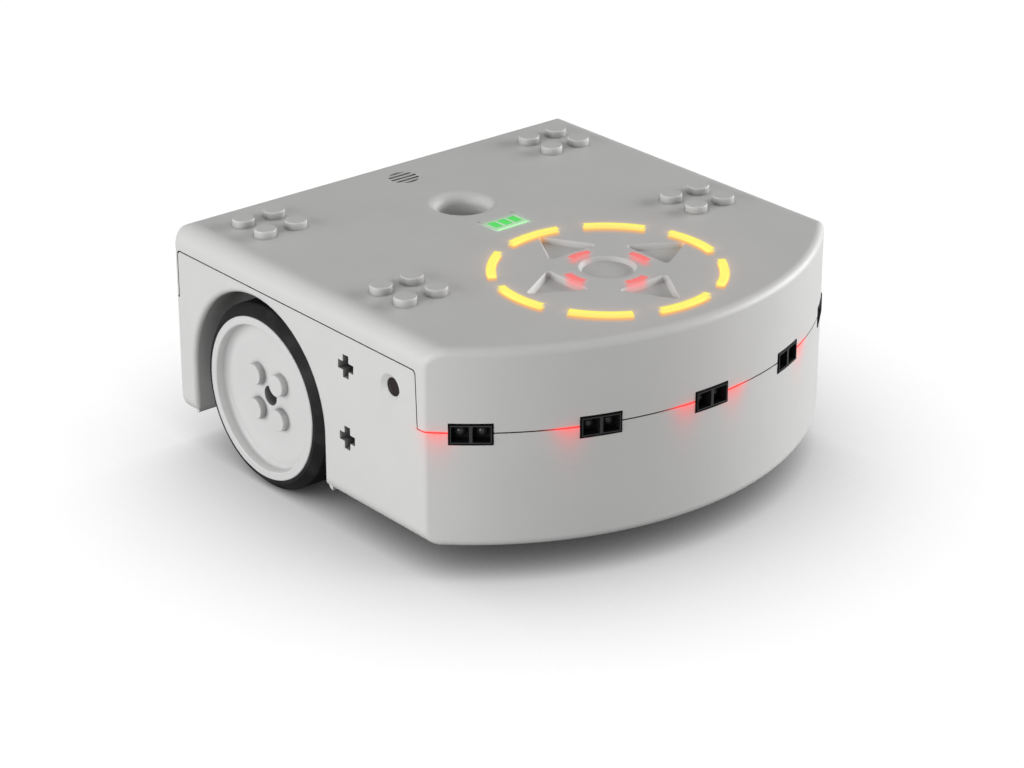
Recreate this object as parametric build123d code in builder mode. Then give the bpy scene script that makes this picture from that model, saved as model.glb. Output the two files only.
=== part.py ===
"""Small two-wheeled coding robot with a brick-compatible shell.

Frame: the origin is on the floor, midway between the two wheels and directly under the axle line.
+Z is up, the curved front faces -Y and the robot's own left is +X.  All lengths are millimetres.
"""
import os
from math import atan, cos, pi, radians, sin, sqrt, tan

from build123d import *

# ---------------------------------------------------------------- brick grid
PITCH = 8.0
STUD_RADIUS = 2.4
STUD_HEIGHT = 1.7
STUD_GROUP_X = 5 * PITCH
STUD_GROUP_REAR_Y = 2 * PITCH
STUD_GROUP_FRONT_Y = -4 * PITCH

# ---------------------------------------------------------------- body form
HALF_WIDTH = 55.25
REAR_Y = 30.5
FRONT_ARC_RADIUS = 75.5
FRONT_ARC_Y = -4.3
BODY_BOTTOM = 7.8
BODY_TOP = 51.3
WALL = 2.0
TOP_SIDE_RADIUS = 4.5
BOTTOM_SIDE_RADIUS = 3.5
FRONT_EDGE_RADIUS = 1.8
REAR_EDGE_RADIUS = 1.3
REAR_TOP_RADIUS = 3.0
CEILING = BODY_TOP - WALL
FLOOR = BODY_BOTTOM + WALL

# ---------------------------------------------------------------- seam between the two shells
SEAM_GAP = 0.28
SIDE_SEAM_Z = 45.6
FRONT_SEAM_Z = 33.25
REAR_SEAM_Z = 34.9
SEAM_FRONT_TOP_Y = -53.15
SEAM_FRONT_BOTTOM_Y = -53.65
SEAM_REAR_Y = 29.0
SEAM_CORNER_RADIUS = 1.0
LIP_THICKNESS = 1.3
LIP_GAP = 0.1
LIP_ROOT = 3.0
LIP_HEIGHT = 2.2
LIP_OVERLAP = 1.0
LIP_BITE = 0.3
LIP_END_MARGIN = 5.0
REAR_LIP_X = 39.0
REAR_LIP_WIDTH = 4.0

# ---------------------------------------------------------------- general fits
PRESS_GAP = 0.01
RUN_GAP = 0.05
LOOSE_GAP = 0.1

# ---------------------------------------------------------------- wheels
WHEEL_RADIUS = 20.7
AXLE_Z = WHEEL_RADIUS
AXLE_RADIUS = 1.5
AXLE_INNER_X = 26.6
AXLE_OUTER_X = 49.3
WHEEL_FACE_X = 55.25
RIM_RADIUS = 18.1
RIM_LIP_INNER = 16.3
RECESS_DEPTH = 2.7
RECESS_CORNER_RADIUS = 0.9
RIM_EDGE_RADIUS = 0.3
RIM_BACK_INSET = 1.5
RIM_FLANGE = 0.8
RECESS_DRAFT = 0.25
TYRE_SEAT_RADIUS = 17.2
TYRE_INNER_X = 44.6
TYRE_OUTER_X = 54.4
TYRE_RING_X = 54.95
TYRE_RING_RADIUS = 18.9
TYRE_SHOULDER_X = 53.2
HUB_BOSS_RADIUS = 4.5
HUB_BOSS_X = 42.0
HUB_HOLE_RADIUS = 2.2
HUB_RIB_COUNT = 6
HUB_RIB_WIDTH = 1.2
LEFT_WHEEL_TURN = 45.0

# ---------------------------------------------------------------- wheel wells
ARCH_Y = 1.2
ARCH_Z = 20.2
ARCH_RADIUS = 23.3
ARCH_FOOT_RADIUS = 2.0
WELL_WALL = 1.5
WELL_X = 41.0
ARCH_EDGE_RADIUS = 1.2

# ---------------------------------------------------------------- side openings
CROSS_Y = -30.5
CROSS_LOWER_Z = 22.7
CROSS_UPPER_Z = CROSS_LOWER_Z + 2 * PITCH
CROSS_SPAN = 5.1
CROSS_ARM = 1.9
CROSS_DEPTH = 6.0
IR_Y = -45.1
IR_Z = 39.1
IR_SINK_RADIUS = 3.05
IR_HOLE_RADIUS = 2.0
IR_SINK_DEPTH = 0.85

# ---------------------------------------------------------------- top face features
RING_Y = -47.7
RING_INNER = 23.4
RING_OUTER = 25.0
RING_HALF_ANGLE = 15.5
RING_COUNT = 8
DIRECTION_INNER = 8.2
DIRECTION_OUTER = 9.9
DIRECTION_HALF_ANGLE = 16.5
DIRECTION_COUNT = 4
ARROW_BASE = 10.6
ARROW_APEX = 22.4
ARROW_HALF_BASE = 6.8
ARROW_CORNER = 0.8
ARROW_DEPTH = 1.2
ARROW_TAPER = 33.0
PRESS_EDGE_RADIUS = 0.25
DISH_RADIUS = 6.1
DISH_DEPTH = 0.9
DISH_TAPER = 40.0
PEN_RADIUS = 5.5
PEN_RIM_RADIUS = 2.4
PEN_TUBE_RADIUS = 7.0
PEN_TUBE_SPLIT = 26.0
MIC_Y = 20.6
MIC_RADIUS = 3.4
MIC_SLOT_WIDTH = 0.8
MIC_SLOT_PITCH = 1.5
MIC_SLOT_COUNT = 5
GAUGE_Y = -14.5
GAUGE_BAR_WIDTH = 1.9
GAUGE_BAR_LENGTH = 3.0
GAUGE_BAR_PITCH = 2.7
GAUGE_BAR_COUNT = 3
GAUGE_HALF_WIDTH = 4.6
GAUGE_REAR_Y = -11.3
GAUGE_FRONT_Y = -17.3
GAUGE_LINE = 0.7
GAUGE_LINE_DEPTH = 0.4

# ---------------------------------------------------------------- proximity sensors
SENSOR_WIDTH = 8.97
SENSOR_HEIGHT = 4.66
SENSOR_DEPTH = 7.0
SENSOR_PROUD = 0.1
SENSOR_Z = 33.0
SENSOR_ANGLES = (-40.0, -20.0, 0.0, 20.0, 40.0)
SENSOR_CELL_WIDTH = 3.66
SENSOR_CELL_HEIGHT = 3.5
SENSOR_CELL_DEPTH = 2.6
SENSOR_CELL_PITCH = 4.26
LENS_RADIUS = 1.25
LENS_BASE = 0.6
REAR_SENSOR_X = 30.0
GROUND_SENSOR_X = 11.5
GROUND_SENSOR_Y = -72.4
GROUND_SENSOR_WIDTH = 5.6
GROUND_SENSOR_LENGTH = 4.0
GROUND_SENSOR_HEIGHT = 4.2
GROUND_CELL = 2.2
GROUND_CELL_PITCH = 2.6
GROUND_LENS_RADIUS = 0.8
SENSOR_LED_ANGLES = (-40.5, -25.5, -5.5, 5.5, 25.5, 40.5)
SENSOR_LED_PLACE_RADIUS = 67.3
SENSOR_LED_SIZE = (1.6, 0.8, 0.7)

# ---------------------------------------------------------------- boards
BOARD_THICKNESS = 1.6
MAIN_BOARD_Z = 31.4
MAIN_BOARD_FRONT_RADIUS = FRONT_ARC_RADIUS + SENSOR_PROUD - SENSOR_DEPTH - LOOSE_GAP
MAIN_BOARD_TOP = MAIN_BOARD_Z + BOARD_THICKNESS
MAIN_BOARD_POSTS = ((40.0, -46.0), (-40.0, -46.0), (24.0, 22.0), (-24.0, 22.0))
MAIN_BOARD_REAR_Y = 27.4
TOUCH_BOARD_Z = 45.6
TOUCH_BOARD_TOP = TOUCH_BOARD_Z + BOARD_THICKNESS
TOUCH_BOARD_RADIUS = 27.6
TOUCH_SCREW_RADIUS = 16.6
GUIDE_FLANGE_BOTTOM = 48.2
GUIDE_FLANGE_TOP = CEILING - RUN_GAP

# ---------------------------------------------------------------- cover screws
COVER_POST_X = 47.0
COVER_POST_FRONT_Y = -38.9
COVER_POST_REAR_X = 45.5
COVER_POST_REAR_Y = 27.1
COVER_POST_RADIUS = 3.3
COVER_REAR_POST_RADIUS = 2.4
COVER_POST_BASE_RADIUS = 4.0
COVER_REAR_POST_BASE_RADIUS = 2.6
COVER_POST_SPLIT = 35.0
COVER_SCREW_RADIUS = 1.15
COVER_SCREW_HEAD_RADIUS = 1.9
COVER_SCREW_HEAD_Z = 20.0
COVER_SCREW_LENGTH = 22.0

# ---------------------------------------------------------------- gear trains (left side, then mirrored)
MODULE = 0.5
PRESSURE_ANGLE = radians(25.0)
ADDENDUM = 0.9 * MODULE
DEDENDUM = 1.15 * MODULE
BACKLASH = 0.03
MESH_GAP = 0.03
FLANK_POINTS = 5
PINION_TEETH = 12
WHEEL_TEETH = 36
AXLE_TEETH = 34
PLATE_X = 28.0
PLATE_THICKNESS = 2.0
LAYER_A = 30.6
LAYER_B = 33.4
LAYER_C = 36.2
FACE_WIDTH = 2.4
SLEEVE_RADIUS = 1.9
SLEEVE_START_X = 30.2
SLEEVE_END_X = 38.8
PIN_RADIUS = 1.0
PIN_END_X = 40.2
AXLE_TO_SECOND = radians(150.0)
SECOND_TO_FIRST = radians(165.0)
FIRST_TO_MOTOR = radians(215.0)
GEARBOX_POSTS = ((10.0, 30.0), (-6.0, 42.0), (-16.0, 13.9))
GEARBOX_POST_RADIUS = 2.2
GEARBOX_SCREW_RADIUS = 0.8
GEARBOX_SCREW_HEAD = 1.5
GEARBOX_SCREW_LENGTH = 6.0
BUSH_RADIUS = 2.6
OUTER_BUSH_X = 39.0
OUTER_BUSH_LENGTH = 2.4
INNER_BUSH_X = 27.8
INNER_BUSH_LENGTH = 2.4

# ---------------------------------------------------------------- motors
MOTOR_RADIUS = 6.0
MOTOR_LENGTH = 20.0
MOTOR_NOSE_RADIUS = 2.0
MOTOR_SHAFT_RADIUS = 0.75
CUP_WALL = 0.95
CUP_LENGTH = 6.0

# ---------------------------------------------------------------- power, sound and rear panel
BATTERY_SIZE = (44.0, 27.5, 8.4)
BATTERY_Y = -54.6
BATTERY_PAD_HEIGHT = 0.8
SPEAKER_Y = 17.3
SPEAKER_RADIUS = 8.4
SPEAKER_HEIGHT = 4.2
USB_X = -11.5
USB_SIZE = (7.6, 7.0, 2.7)
CARD_X = 11.0
CARD_SIZE = (11.0, 15.0, 0.9)
CARD_SOCKET_SIZE = (13.4, 14.0, 1.7)
CARD_PROUD = 0.6
RESET_X = -18.9
RESET_Z = 29.6
RESET_RADIUS = 1.2
SKID_Y = -60.0
SKID_RADIUS = 5.0

BASE = (Align.CENTER, Align.CENTER, Align.MIN)
TOP = (Align.CENTER, Align.CENTER, Align.MAX)

os.makedirs("parts", exist_ok=True)


def save(part, name):
    """Label one finished piece and write it as its own STEP file."""
    part.label = name
    export_step(part, f"parts/{name}.step")


def save_pair(left_part, name):
    """Write a piece built on the robot's left and its mirror image on the right."""
    save(left_part, f"{name}_left")
    save(mirror(left_part, about=Plane.YZ), f"{name}_right")


def along_x(x, y, z):
    """A location whose local Z axis points along +X, for shafts, pins and bores."""
    return Location((x, y, z), (0, 90, 0))


def step_from(origin, distance, angle):
    """The point a distance away from an origin at an angle, in the YZ plane."""
    return (origin[0] + distance * cos(angle), origin[1] + distance * sin(angle))


PINION_PITCH = PINION_TEETH * MODULE / 2
WHEEL_PITCH = WHEEL_TEETH * MODULE / 2
AXLE_PITCH = AXLE_TEETH * MODULE / 2
AXLE_POINT = (0.0, AXLE_Z)
AXLE_AXIS = Axis((0, 0, AXLE_Z), (1, 0, 0))
SECOND_POINT = step_from(AXLE_POINT, AXLE_PITCH + PINION_PITCH + MESH_GAP, AXLE_TO_SECOND)
FIRST_POINT = step_from(SECOND_POINT, WHEEL_PITCH + PINION_PITCH + MESH_GAP, SECOND_TO_FIRST)
MOTOR_POINT = step_from(FIRST_POINT, WHEEL_PITCH + PINION_PITCH + MESH_GAP, FIRST_TO_MOTOR)


# ================================================================ shared shapes
def body_block(inset):
    """The robot's solid form, shrunk by an inset: a rounded section cut by the front arc."""
    with BuildPart() as block:
        with BuildSketch(Plane.XZ.offset(inset - REAR_Y)) as section:
            with Locations((0, (BODY_TOP + BODY_BOTTOM) / 2)):
                Rectangle(2 * (HALF_WIDTH - inset), BODY_TOP - BODY_BOTTOM - 2 * inset)
            fillet(section.vertices().group_by(Axis.Y)[-1], TOP_SIDE_RADIUS - inset)
            fillet(section.vertices().group_by(Axis.Y)[0], BOTTOM_SIDE_RADIUS - inset)
        extrude(amount=REAR_Y - FRONT_ARC_Y + FRONT_ARC_RADIUS + WALL)
        with BuildSketch(Plane.XY):
            with Locations((0, FRONT_ARC_Y)):
                Circle(FRONT_ARC_RADIUS - inset)
        extrude(amount=BODY_TOP + WALL, mode=Mode.INTERSECT)
        if inset == 0:
            fillet(block.faces().sort_by(Axis.Y)[0].edges(), FRONT_EDGE_RADIUS)
            fillet(block.faces().sort_by(Axis.Y)[-1].edges(), REAR_EDGE_RADIUS)
            with BuildSketch(Plane.YZ.offset(-2 * HALF_WIDTH)) as side_view:
                with Locations((REAR_Y, BODY_TOP)):
                    Rectangle(2 * FRONT_ARC_RADIUS, 2 * BODY_TOP, align=(Align.MAX, Align.MAX))
                rear_top_corner = side_view.vertices().sort_by_distance((REAR_Y, BODY_TOP))[0]
                fillet(rear_top_corner, REAR_TOP_RADIUS)
            extrude(amount=4 * HALF_WIDTH, mode=Mode.INTERSECT)
    return block.part


def upper_zone(shift):
    """Everything above the stepped seam, moved up and outward by a shift."""
    reach = 2 * FRONT_ARC_RADIUS
    front_top = SEAM_FRONT_TOP_Y - shift
    front_bottom = SEAM_FRONT_BOTTOM_Y - shift
    rear = SEAM_REAR_Y + shift
    side_z = SIDE_SEAM_Z + shift
    front_z = FRONT_SEAM_Z + shift
    rear_z = REAR_SEAM_Z + shift
    with BuildPart() as zone:
        with BuildSketch(Plane.YZ.offset(-reach)) as steps:
            with BuildLine():
                Polyline(
                    (-reach, front_z),
                    (front_bottom, front_z),
                    (front_top, side_z),
                    (rear, side_z),
                    (rear, rear_z),
                    (reach, rear_z),
                    (reach, reach),
                    (-reach, reach),
                    close=True,
                )
            make_face()
            inner_corners = steps.vertices().filter_by_position(Axis.Y, side_z - 1, side_z + 1)
            fillet(inner_corners, SEAM_CORNER_RADIUS)
        extrude(amount=2 * reach)
        with Locations((0, REAR_Y, rear_z)):
            Box(2 * (HALF_WIDTH - WALL - LOOSE_GAP - shift), 4 * WALL, BODY_TOP, align=BASE)
    return zone.part


def arch_outline(x, radius):
    """Wheel arch seen from the side on a plane at x: a half circle on two straight legs."""
    with BuildSketch(Plane.YZ.offset(x)) as outline:
        with Locations((ARCH_Y, ARCH_Z)):
            Circle(radius)
            Rectangle(2 * radius, ARCH_Z - BODY_BOTTOM, align=(Align.CENTER, Align.MAX))
        with Locations((ARCH_Y, BODY_BOTTOM)):
            Rectangle(2 * radius, 2 * radius, align=(Align.CENTER, Align.MIN), mode=Mode.INTERSECT)
    return outline.sketch


def arch_cutter():
    """The free space of the left wheel well, flared at the side and at the feet to round the edges."""
    middle = Plane((0, ARCH_Y, ARCH_Z))
    flare_x = HALF_WIDTH - ARCH_EDGE_RADIUS
    flare_y = ARCH_RADIUS + ARCH_EDGE_RADIUS
    foot_y = ARCH_RADIUS + ARCH_FOOT_RADIUS
    with BuildPart() as cutter:
        with BuildSketch(middle) as half_plan:
            with BuildLine():
                Polyline(
                    (HALF_WIDTH, flare_y),
                    (HALF_WIDTH + 1.0, flare_y),
                    (HALF_WIDTH + 1.0, 0),
                    (WELL_X, 0),
                    (WELL_X, ARCH_RADIUS),
                    (flare_x, ARCH_RADIUS),
                )
                CenterArc((flare_x, flare_y), ARCH_EDGE_RADIUS, -90, 90)
            make_face()
        revolve(axis=Axis((0, ARCH_Y, ARCH_Z), (1, 0, 0)))
        with BuildSketch(middle):
            add(half_plan.sketch_local)
            mirror(about=Plane.XZ)
        extrude(amount=-ARCH_Z)
        with BuildSketch(Plane.YZ.offset(WELL_X)):
            with Locations((ARCH_Y, BODY_BOTTOM)):
                Rectangle(2 * foot_y, ARCH_FOOT_RADIUS, align=(Align.CENTER, Align.MIN))
            with Locations((ARCH_Y - foot_y, BODY_BOTTOM + ARCH_FOOT_RADIUS)):
                Circle(ARCH_FOOT_RADIUS, mode=Mode.SUBTRACT)
            with Locations((ARCH_Y + foot_y, BODY_BOTTOM + ARCH_FOOT_RADIUS)):
                Circle(ARCH_FOOT_RADIUS, mode=Mode.SUBTRACT)
        extrude(amount=HALF_WIDTH + 1.0 - WELL_X)
    return cutter.part


def arc_bars(height, inner, outer, half_angle, count):
    """Evenly spaced curved bars around the button centre, on a level plane."""
    near = 0.8 * inner
    far = 1.2 * outer
    slope = tan(radians(half_angle))
    with BuildSketch(Plane.XY.offset(height)) as bars:
        with Locations((0, RING_Y)):
            with PolarLocations(0, count):
                Polygon(
                    (near, -near * slope),
                    (far, -far * slope),
                    (far, far * slope),
                    (near, near * slope),
                    align=None,
                )
            Circle(outer, mode=Mode.INTERSECT)
            Circle(inner, mode=Mode.SUBTRACT)
    return bars.sketch


def arrow_outline():
    """The rearward-pointing arrow: a triangle with rounded corners, apex away from the centre."""
    with BuildSketch(Plane.XY) as arrow:
        Polygon(
            (-ARROW_HALF_BASE, ARROW_BASE),
            (ARROW_HALF_BASE, ARROW_BASE),
            (0, ARROW_APEX),
            align=None,
        )
        fillet(arrow.vertices(), ARROW_CORNER)
    return arrow.sketch


def cross_outline(x, y, z):
    """Cross-shaped socket outline on a plane at x, square to the side wall."""
    with BuildSketch(Plane.YZ.offset(x)) as cross:
        with Locations((y, z)):
            Rectangle(CROSS_SPAN, CROSS_ARM)
            Rectangle(CROSS_ARM, CROSS_SPAN)
    return cross.sketch


def gear_points(teeth, phase):
    """Corner points of an involute spur gear with one tooth centred on the phase angle."""
    pitch_radius = teeth * MODULE / 2
    base_radius = pitch_radius * cos(PRESSURE_ANGLE)
    root_radius = pitch_radius - DEDENDUM
    tip_radius = pitch_radius + ADDENDUM
    start_radius = max(base_radius, root_radius)
    half_tooth = (pi * MODULE / 4 - BACKLASH) / pitch_radius + tan(PRESSURE_ANGLE) - PRESSURE_ANGLE
    flank = [(root_radius, start_radius)]
    for index in range(FLANK_POINTS):
        radius = start_radius + (tip_radius - start_radius) * index / (FLANK_POINTS - 1)
        flank.append((radius, radius))
    if root_radius >= base_radius:
        flank = flank[1:]
    points = []
    for tooth in range(teeth):
        centre = phase + 2 * pi * tooth / teeth
        sides = []
        for radius, roll_radius in flank:
            roll = sqrt(max((roll_radius / base_radius) ** 2 - 1, 0))
            sides.append((radius, half_tooth - roll + atan(roll)))
        for radius, angle in sides:
            points.append((radius * cos(centre - angle), radius * sin(centre - angle)))
        for radius, angle in reversed(sides):
            points.append((radius * cos(centre + angle), radius * sin(centre + angle)))
    return points


def gear_disc(teeth, phase, point, x):
    """One spur gear of the standard face width standing on a plane square to the X axis."""
    with BuildPart() as disc:
        with BuildSketch(Plane.YZ.offset(x)):
            with Locations(point):
                Polygon(*gear_points(teeth, phase), align=None)
        extrude(amount=FACE_WIDTH)
    return disc.part


def screw(head_radius, head_height, shank_radius, length):
    """A pan-head screw: head on the XY plane going up, shank pointing down, cross recess on top."""
    with BuildPart() as body:
        Cylinder(head_radius, head_height, align=BASE)
        fillet(body.faces().sort_by(Axis.Z)[-1].edges(), 0.4 * head_height)
        with Locations((0, 0, head_height)):
            Box(1.2 * head_radius, 0.3 * head_radius, head_height, align=TOP, mode=Mode.SUBTRACT)
            Box(0.3 * head_radius, 1.2 * head_radius, head_height, align=TOP, mode=Mode.SUBTRACT)
        Cylinder(head_radius, 0.35 * head_height, align=BASE)
        Cylinder(shank_radius, length, align=TOP)
        chamfer(body.faces().sort_by(Axis.Z)[0].edges(), 0.4 * shank_radius)
    return body.part


def proximity_housing():
    """Twin-cell sensor housing facing -Y, its front face on the XZ plane."""
    with BuildPart() as housing:
        Box(SENSOR_WIDTH, SENSOR_DEPTH, SENSOR_HEIGHT, align=(Align.CENTER, Align.MIN, Align.CENTER))
        with GridLocations(SENSOR_CELL_PITCH, 0, 2, 1):
            Box(
                SENSOR_CELL_WIDTH,
                2 * SENSOR_CELL_DEPTH,
                SENSOR_CELL_HEIGHT,
                mode=Mode.SUBTRACT,
            )
        chamfer(housing.faces().sort_by(Axis.Y)[0].outer_wire().edges(), 0.2)
        with Locations((0, SENSOR_CELL_DEPTH, 0)):
            with GridLocations(SENSOR_CELL_PITCH, 0, 2, 1):
                Cylinder(LENS_RADIUS + PRESS_GAP, 2 * LENS_BASE, rotation=(90, 0, 0), mode=Mode.SUBTRACT)
    return housing.part


def dome_lens(radius, base):
    """A clear dome on a short cylinder, pointing up."""
    with BuildPart() as lens:
        with BuildSketch(Plane.XZ):
            with BuildLine():
                Polyline((0, base), (0, 0), (radius, 0), (radius, base))
                RadiusArc((radius, base), (0, base + radius), -radius)
                Line((0, base + radius), (0, base))
            make_face()
        revolve(axis=Axis.Z)
    return lens.part


def sensor_places():
    """Places of the front sensors, turned to face outward along the front arc."""
    radius = FRONT_ARC_RADIUS + SENSOR_PROUD
    places = []
    for angle in SENSOR_ANGLES:
        turn = radians(angle)
        spot = (radius * sin(turn), FRONT_ARC_Y - radius * cos(turn), SENSOR_Z)
        places.append(Location(spot, (0, 0, angle)))
    return places


def rear_sensor_places():
    """Places of the two rear sensors, facing +Y."""
    rear_y = REAR_Y + SENSOR_PROUD
    return [Location((x, rear_y, SENSOR_Z), (0, 0, 180)) for x in (REAR_SENSOR_X, -REAR_SENSOR_X)]


ALL_SENSOR_PLACES = sensor_places() + rear_sensor_places()
COVER_POSTS = (
    (COVER_POST_X, COVER_POST_FRONT_Y, COVER_POST_RADIUS, COVER_POST_BASE_RADIUS),
    (-COVER_POST_X, COVER_POST_FRONT_Y, COVER_POST_RADIUS, COVER_POST_BASE_RADIUS),
    (COVER_POST_REAR_X, COVER_POST_REAR_Y, COVER_REAR_POST_RADIUS, COVER_REAR_POST_BASE_RADIUS),
    (-COVER_POST_REAR_X, COVER_POST_REAR_Y, COVER_REAR_POST_RADIUS, COVER_REAR_POST_BASE_RADIUS),
)
TOUCH_SCREW_POINTS = [
    (TOUCH_SCREW_RADIUS * cos(radians(angle)), RING_Y + TOUCH_SCREW_RADIUS * sin(radians(angle)))
    for angle in (45, 135, 225, 315)
]


# ================================================================ top cover
ARROW_POCKET = extrude(arrow_outline(), ARROW_DEPTH, dir=(0, 0, -1), taper=ARROW_TAPER)
RING_SLOTS = arc_bars(
    CEILING - WALL,
    RING_INNER - RUN_GAP,
    RING_OUTER + RUN_GAP,
    RING_HALF_ANGLE + 0.2,
    RING_COUNT,
)
DIRECTION_SLOTS = arc_bars(
    CEILING - WALL,
    DIRECTION_INNER - RUN_GAP,
    DIRECTION_OUTER + RUN_GAP,
    DIRECTION_HALF_ANGLE + 0.4,
    DIRECTION_COUNT,
)

with BuildPart() as top_cover:
    add(body_block(0))
    add(body_block(WALL), mode=Mode.SUBTRACT)
    add(upper_zone(SEAM_GAP / 2), mode=Mode.INTERSECT)

    # brick studs: four groups of four on the flat top
    stud_groups = [
        (side * STUD_GROUP_X, y, BODY_TOP)
        for side in (1, -1)
        for y in (STUD_GROUP_REAR_Y, STUD_GROUP_FRONT_Y)
    ]
    with Locations(*stud_groups):
        with GridLocations(PITCH, PITCH, 2, 2):
            Cylinder(STUD_RADIUS, STUD_HEIGHT, align=BASE)
    fillet(top_cover.edges().group_by(Axis.Z)[-1], 0.25)

    # pen tube through the axle midpoint, with its flared rim
    with Locations((0, 0, PEN_TUBE_SPLIT + LOOSE_GAP)):
        Cylinder(PEN_TUBE_RADIUS, CEILING - PEN_TUBE_SPLIT, align=BASE)
        Cylinder(PEN_RADIUS, BODY_TOP, align=BASE, mode=Mode.SUBTRACT)
    circles = top_cover.edges().filter_by(GeomType.CIRCLE)
    pen_mouth = circles.filter_by(lambda edge: abs(edge.radius - PEN_RADIUS) < 0.01).sort_by(Axis.Z)[-1]
    fillet(pen_mouth, PEN_RIM_RADIUS)

    # screw posts, reaching down to the bottom shell's posts
    for post_x, post_y, post_radius, base_radius in COVER_POSTS:
        with Locations((post_x, post_y, COVER_POST_SPLIT + LOOSE_GAP)):
            Cylinder(post_radius, CEILING + 0.5 * WALL - COVER_POST_SPLIT, align=BASE)
            Cylinder(COVER_SCREW_RADIUS + PRESS_GAP, 12.0, align=BASE, mode=Mode.SUBTRACT)

    # short bosses that carry the touch board
    with Locations(*[(x, y, TOUCH_BOARD_TOP) for x, y in TOUCH_SCREW_POINTS]):
        Cylinder(2.2, CEILING + 0.5 * WALL - TOUCH_BOARD_TOP, align=BASE)
        Cylinder(0.91, 2.6, align=BASE, mode=Mode.SUBTRACT)

    # microphone cup under its grille
    with Locations((0, MIC_Y, CEILING + 0.5)):
        Cylinder(4.2, 3.8, align=TOP)
    with Locations((0, MIC_Y, CEILING - 0.2)):
        Cylinder(3.05, 4.0, align=TOP, mode=Mode.SUBTRACT)

    # locating ribs that sit inside the side walls, clear of the wheel wells
    rib_x = HALF_WIDTH - WALL - LIP_GAP - LIP_THICKNESS / 2
    for side in (1, -1):
        for rib_start, rib_end in ((-50.0, -43.6), (-34.5, -13.0), (13.0, 23.5)):
            with Locations((side * rib_x, (rib_start + rib_end) / 2, CEILING + 0.5)):
                Box(LIP_THICKNESS, rib_end - rib_start, 6.0, align=TOP)

    # pocket halves for the proximity sensors
    with Locations(*ALL_SENSOR_PLACES):
        Box(
            SENSOR_WIDTH + LOOSE_GAP,
            2 * (SENSOR_DEPTH + RUN_GAP),
            SENSOR_HEIGHT + LOOSE_GAP,
            mode=Mode.SUBTRACT,
        )

    # arrows and centre dish pressed into the top
    with Locations((0, RING_Y, BODY_TOP)):
        with PolarLocations(0, DIRECTION_COUNT):
            add(ARROW_POCKET, mode=Mode.SUBTRACT)
    with BuildSketch(Plane.XY.offset(BODY_TOP)):
        with Locations((0, RING_Y)):
            Circle(DISH_RADIUS)
    extrude(amount=-DISH_DEPTH, taper=DISH_TAPER, mode=Mode.SUBTRACT)
    top_edges = top_cover.edges().filter_by(lambda edge: abs(edge.center().Z - BODY_TOP) < 0.01)
    ring_centre = Vector(0, RING_Y, BODY_TOP)
    pressed_edges = top_edges.filter_by(lambda edge: (edge.center() - ring_centre).length < ARROW_APEX)
    fillet(pressed_edges, PRESS_EDGE_RADIUS)

    # slots for the light guides
    extrude(RING_SLOTS, amount=3 * WALL, mode=Mode.SUBTRACT)
    extrude(DIRECTION_SLOTS, amount=3 * WALL, mode=Mode.SUBTRACT)
    with Locations((0, GAUGE_Y, BODY_TOP)):
        with GridLocations(GAUGE_BAR_PITCH, 0, GAUGE_BAR_COUNT, 1):
            Box(GAUGE_BAR_WIDTH + LOOSE_GAP, GAUGE_BAR_LENGTH + LOOSE_GAP, 4 * WALL, mode=Mode.SUBTRACT)

    # shallow battery outline around the gauge bars: two side lines and a front line
    gauge_length = GAUGE_REAR_Y - GAUGE_FRONT_Y
    gauge_mid_y = (GAUGE_REAR_Y + GAUGE_FRONT_Y) / 2
    with Locations((GAUGE_HALF_WIDTH, gauge_mid_y, BODY_TOP), (-GAUGE_HALF_WIDTH, gauge_mid_y, BODY_TOP)):
        Box(GAUGE_LINE, gauge_length + GAUGE_LINE, 2 * GAUGE_LINE_DEPTH, mode=Mode.SUBTRACT)
    with Locations((0, GAUGE_FRONT_Y, BODY_TOP)):
        Box(2 * GAUGE_HALF_WIDTH + GAUGE_LINE, GAUGE_LINE, 2 * GAUGE_LINE_DEPTH, mode=Mode.SUBTRACT)

    # microphone grille slots
    with BuildSketch(Plane.XY.offset(BODY_TOP)):
        with Locations((0, MIC_Y)):
            with GridLocations(0, MIC_SLOT_PITCH, 1, MIC_SLOT_COUNT):
                Rectangle(2 * MIC_RADIUS, MIC_SLOT_WIDTH)
            Circle(MIC_RADIUS, mode=Mode.INTERSECT)
    extrude(amount=-2 * WALL, mode=Mode.SUBTRACT)
save(top_cover.part, "top_cover")


# ================================================================ bottom shell
LEFT_WELL = arch_cutter()
RIGHT_WELL = mirror(LEFT_WELL, about=Plane.YZ)
lip_radius = FRONT_ARC_RADIUS - WALL - LIP_GAP
lip_rear_y = REAR_Y - WALL - LIP_GAP
rear_lip_spots = ((REAR_LIP_X, lip_rear_y), (-REAR_LIP_X, lip_rear_y))

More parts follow.
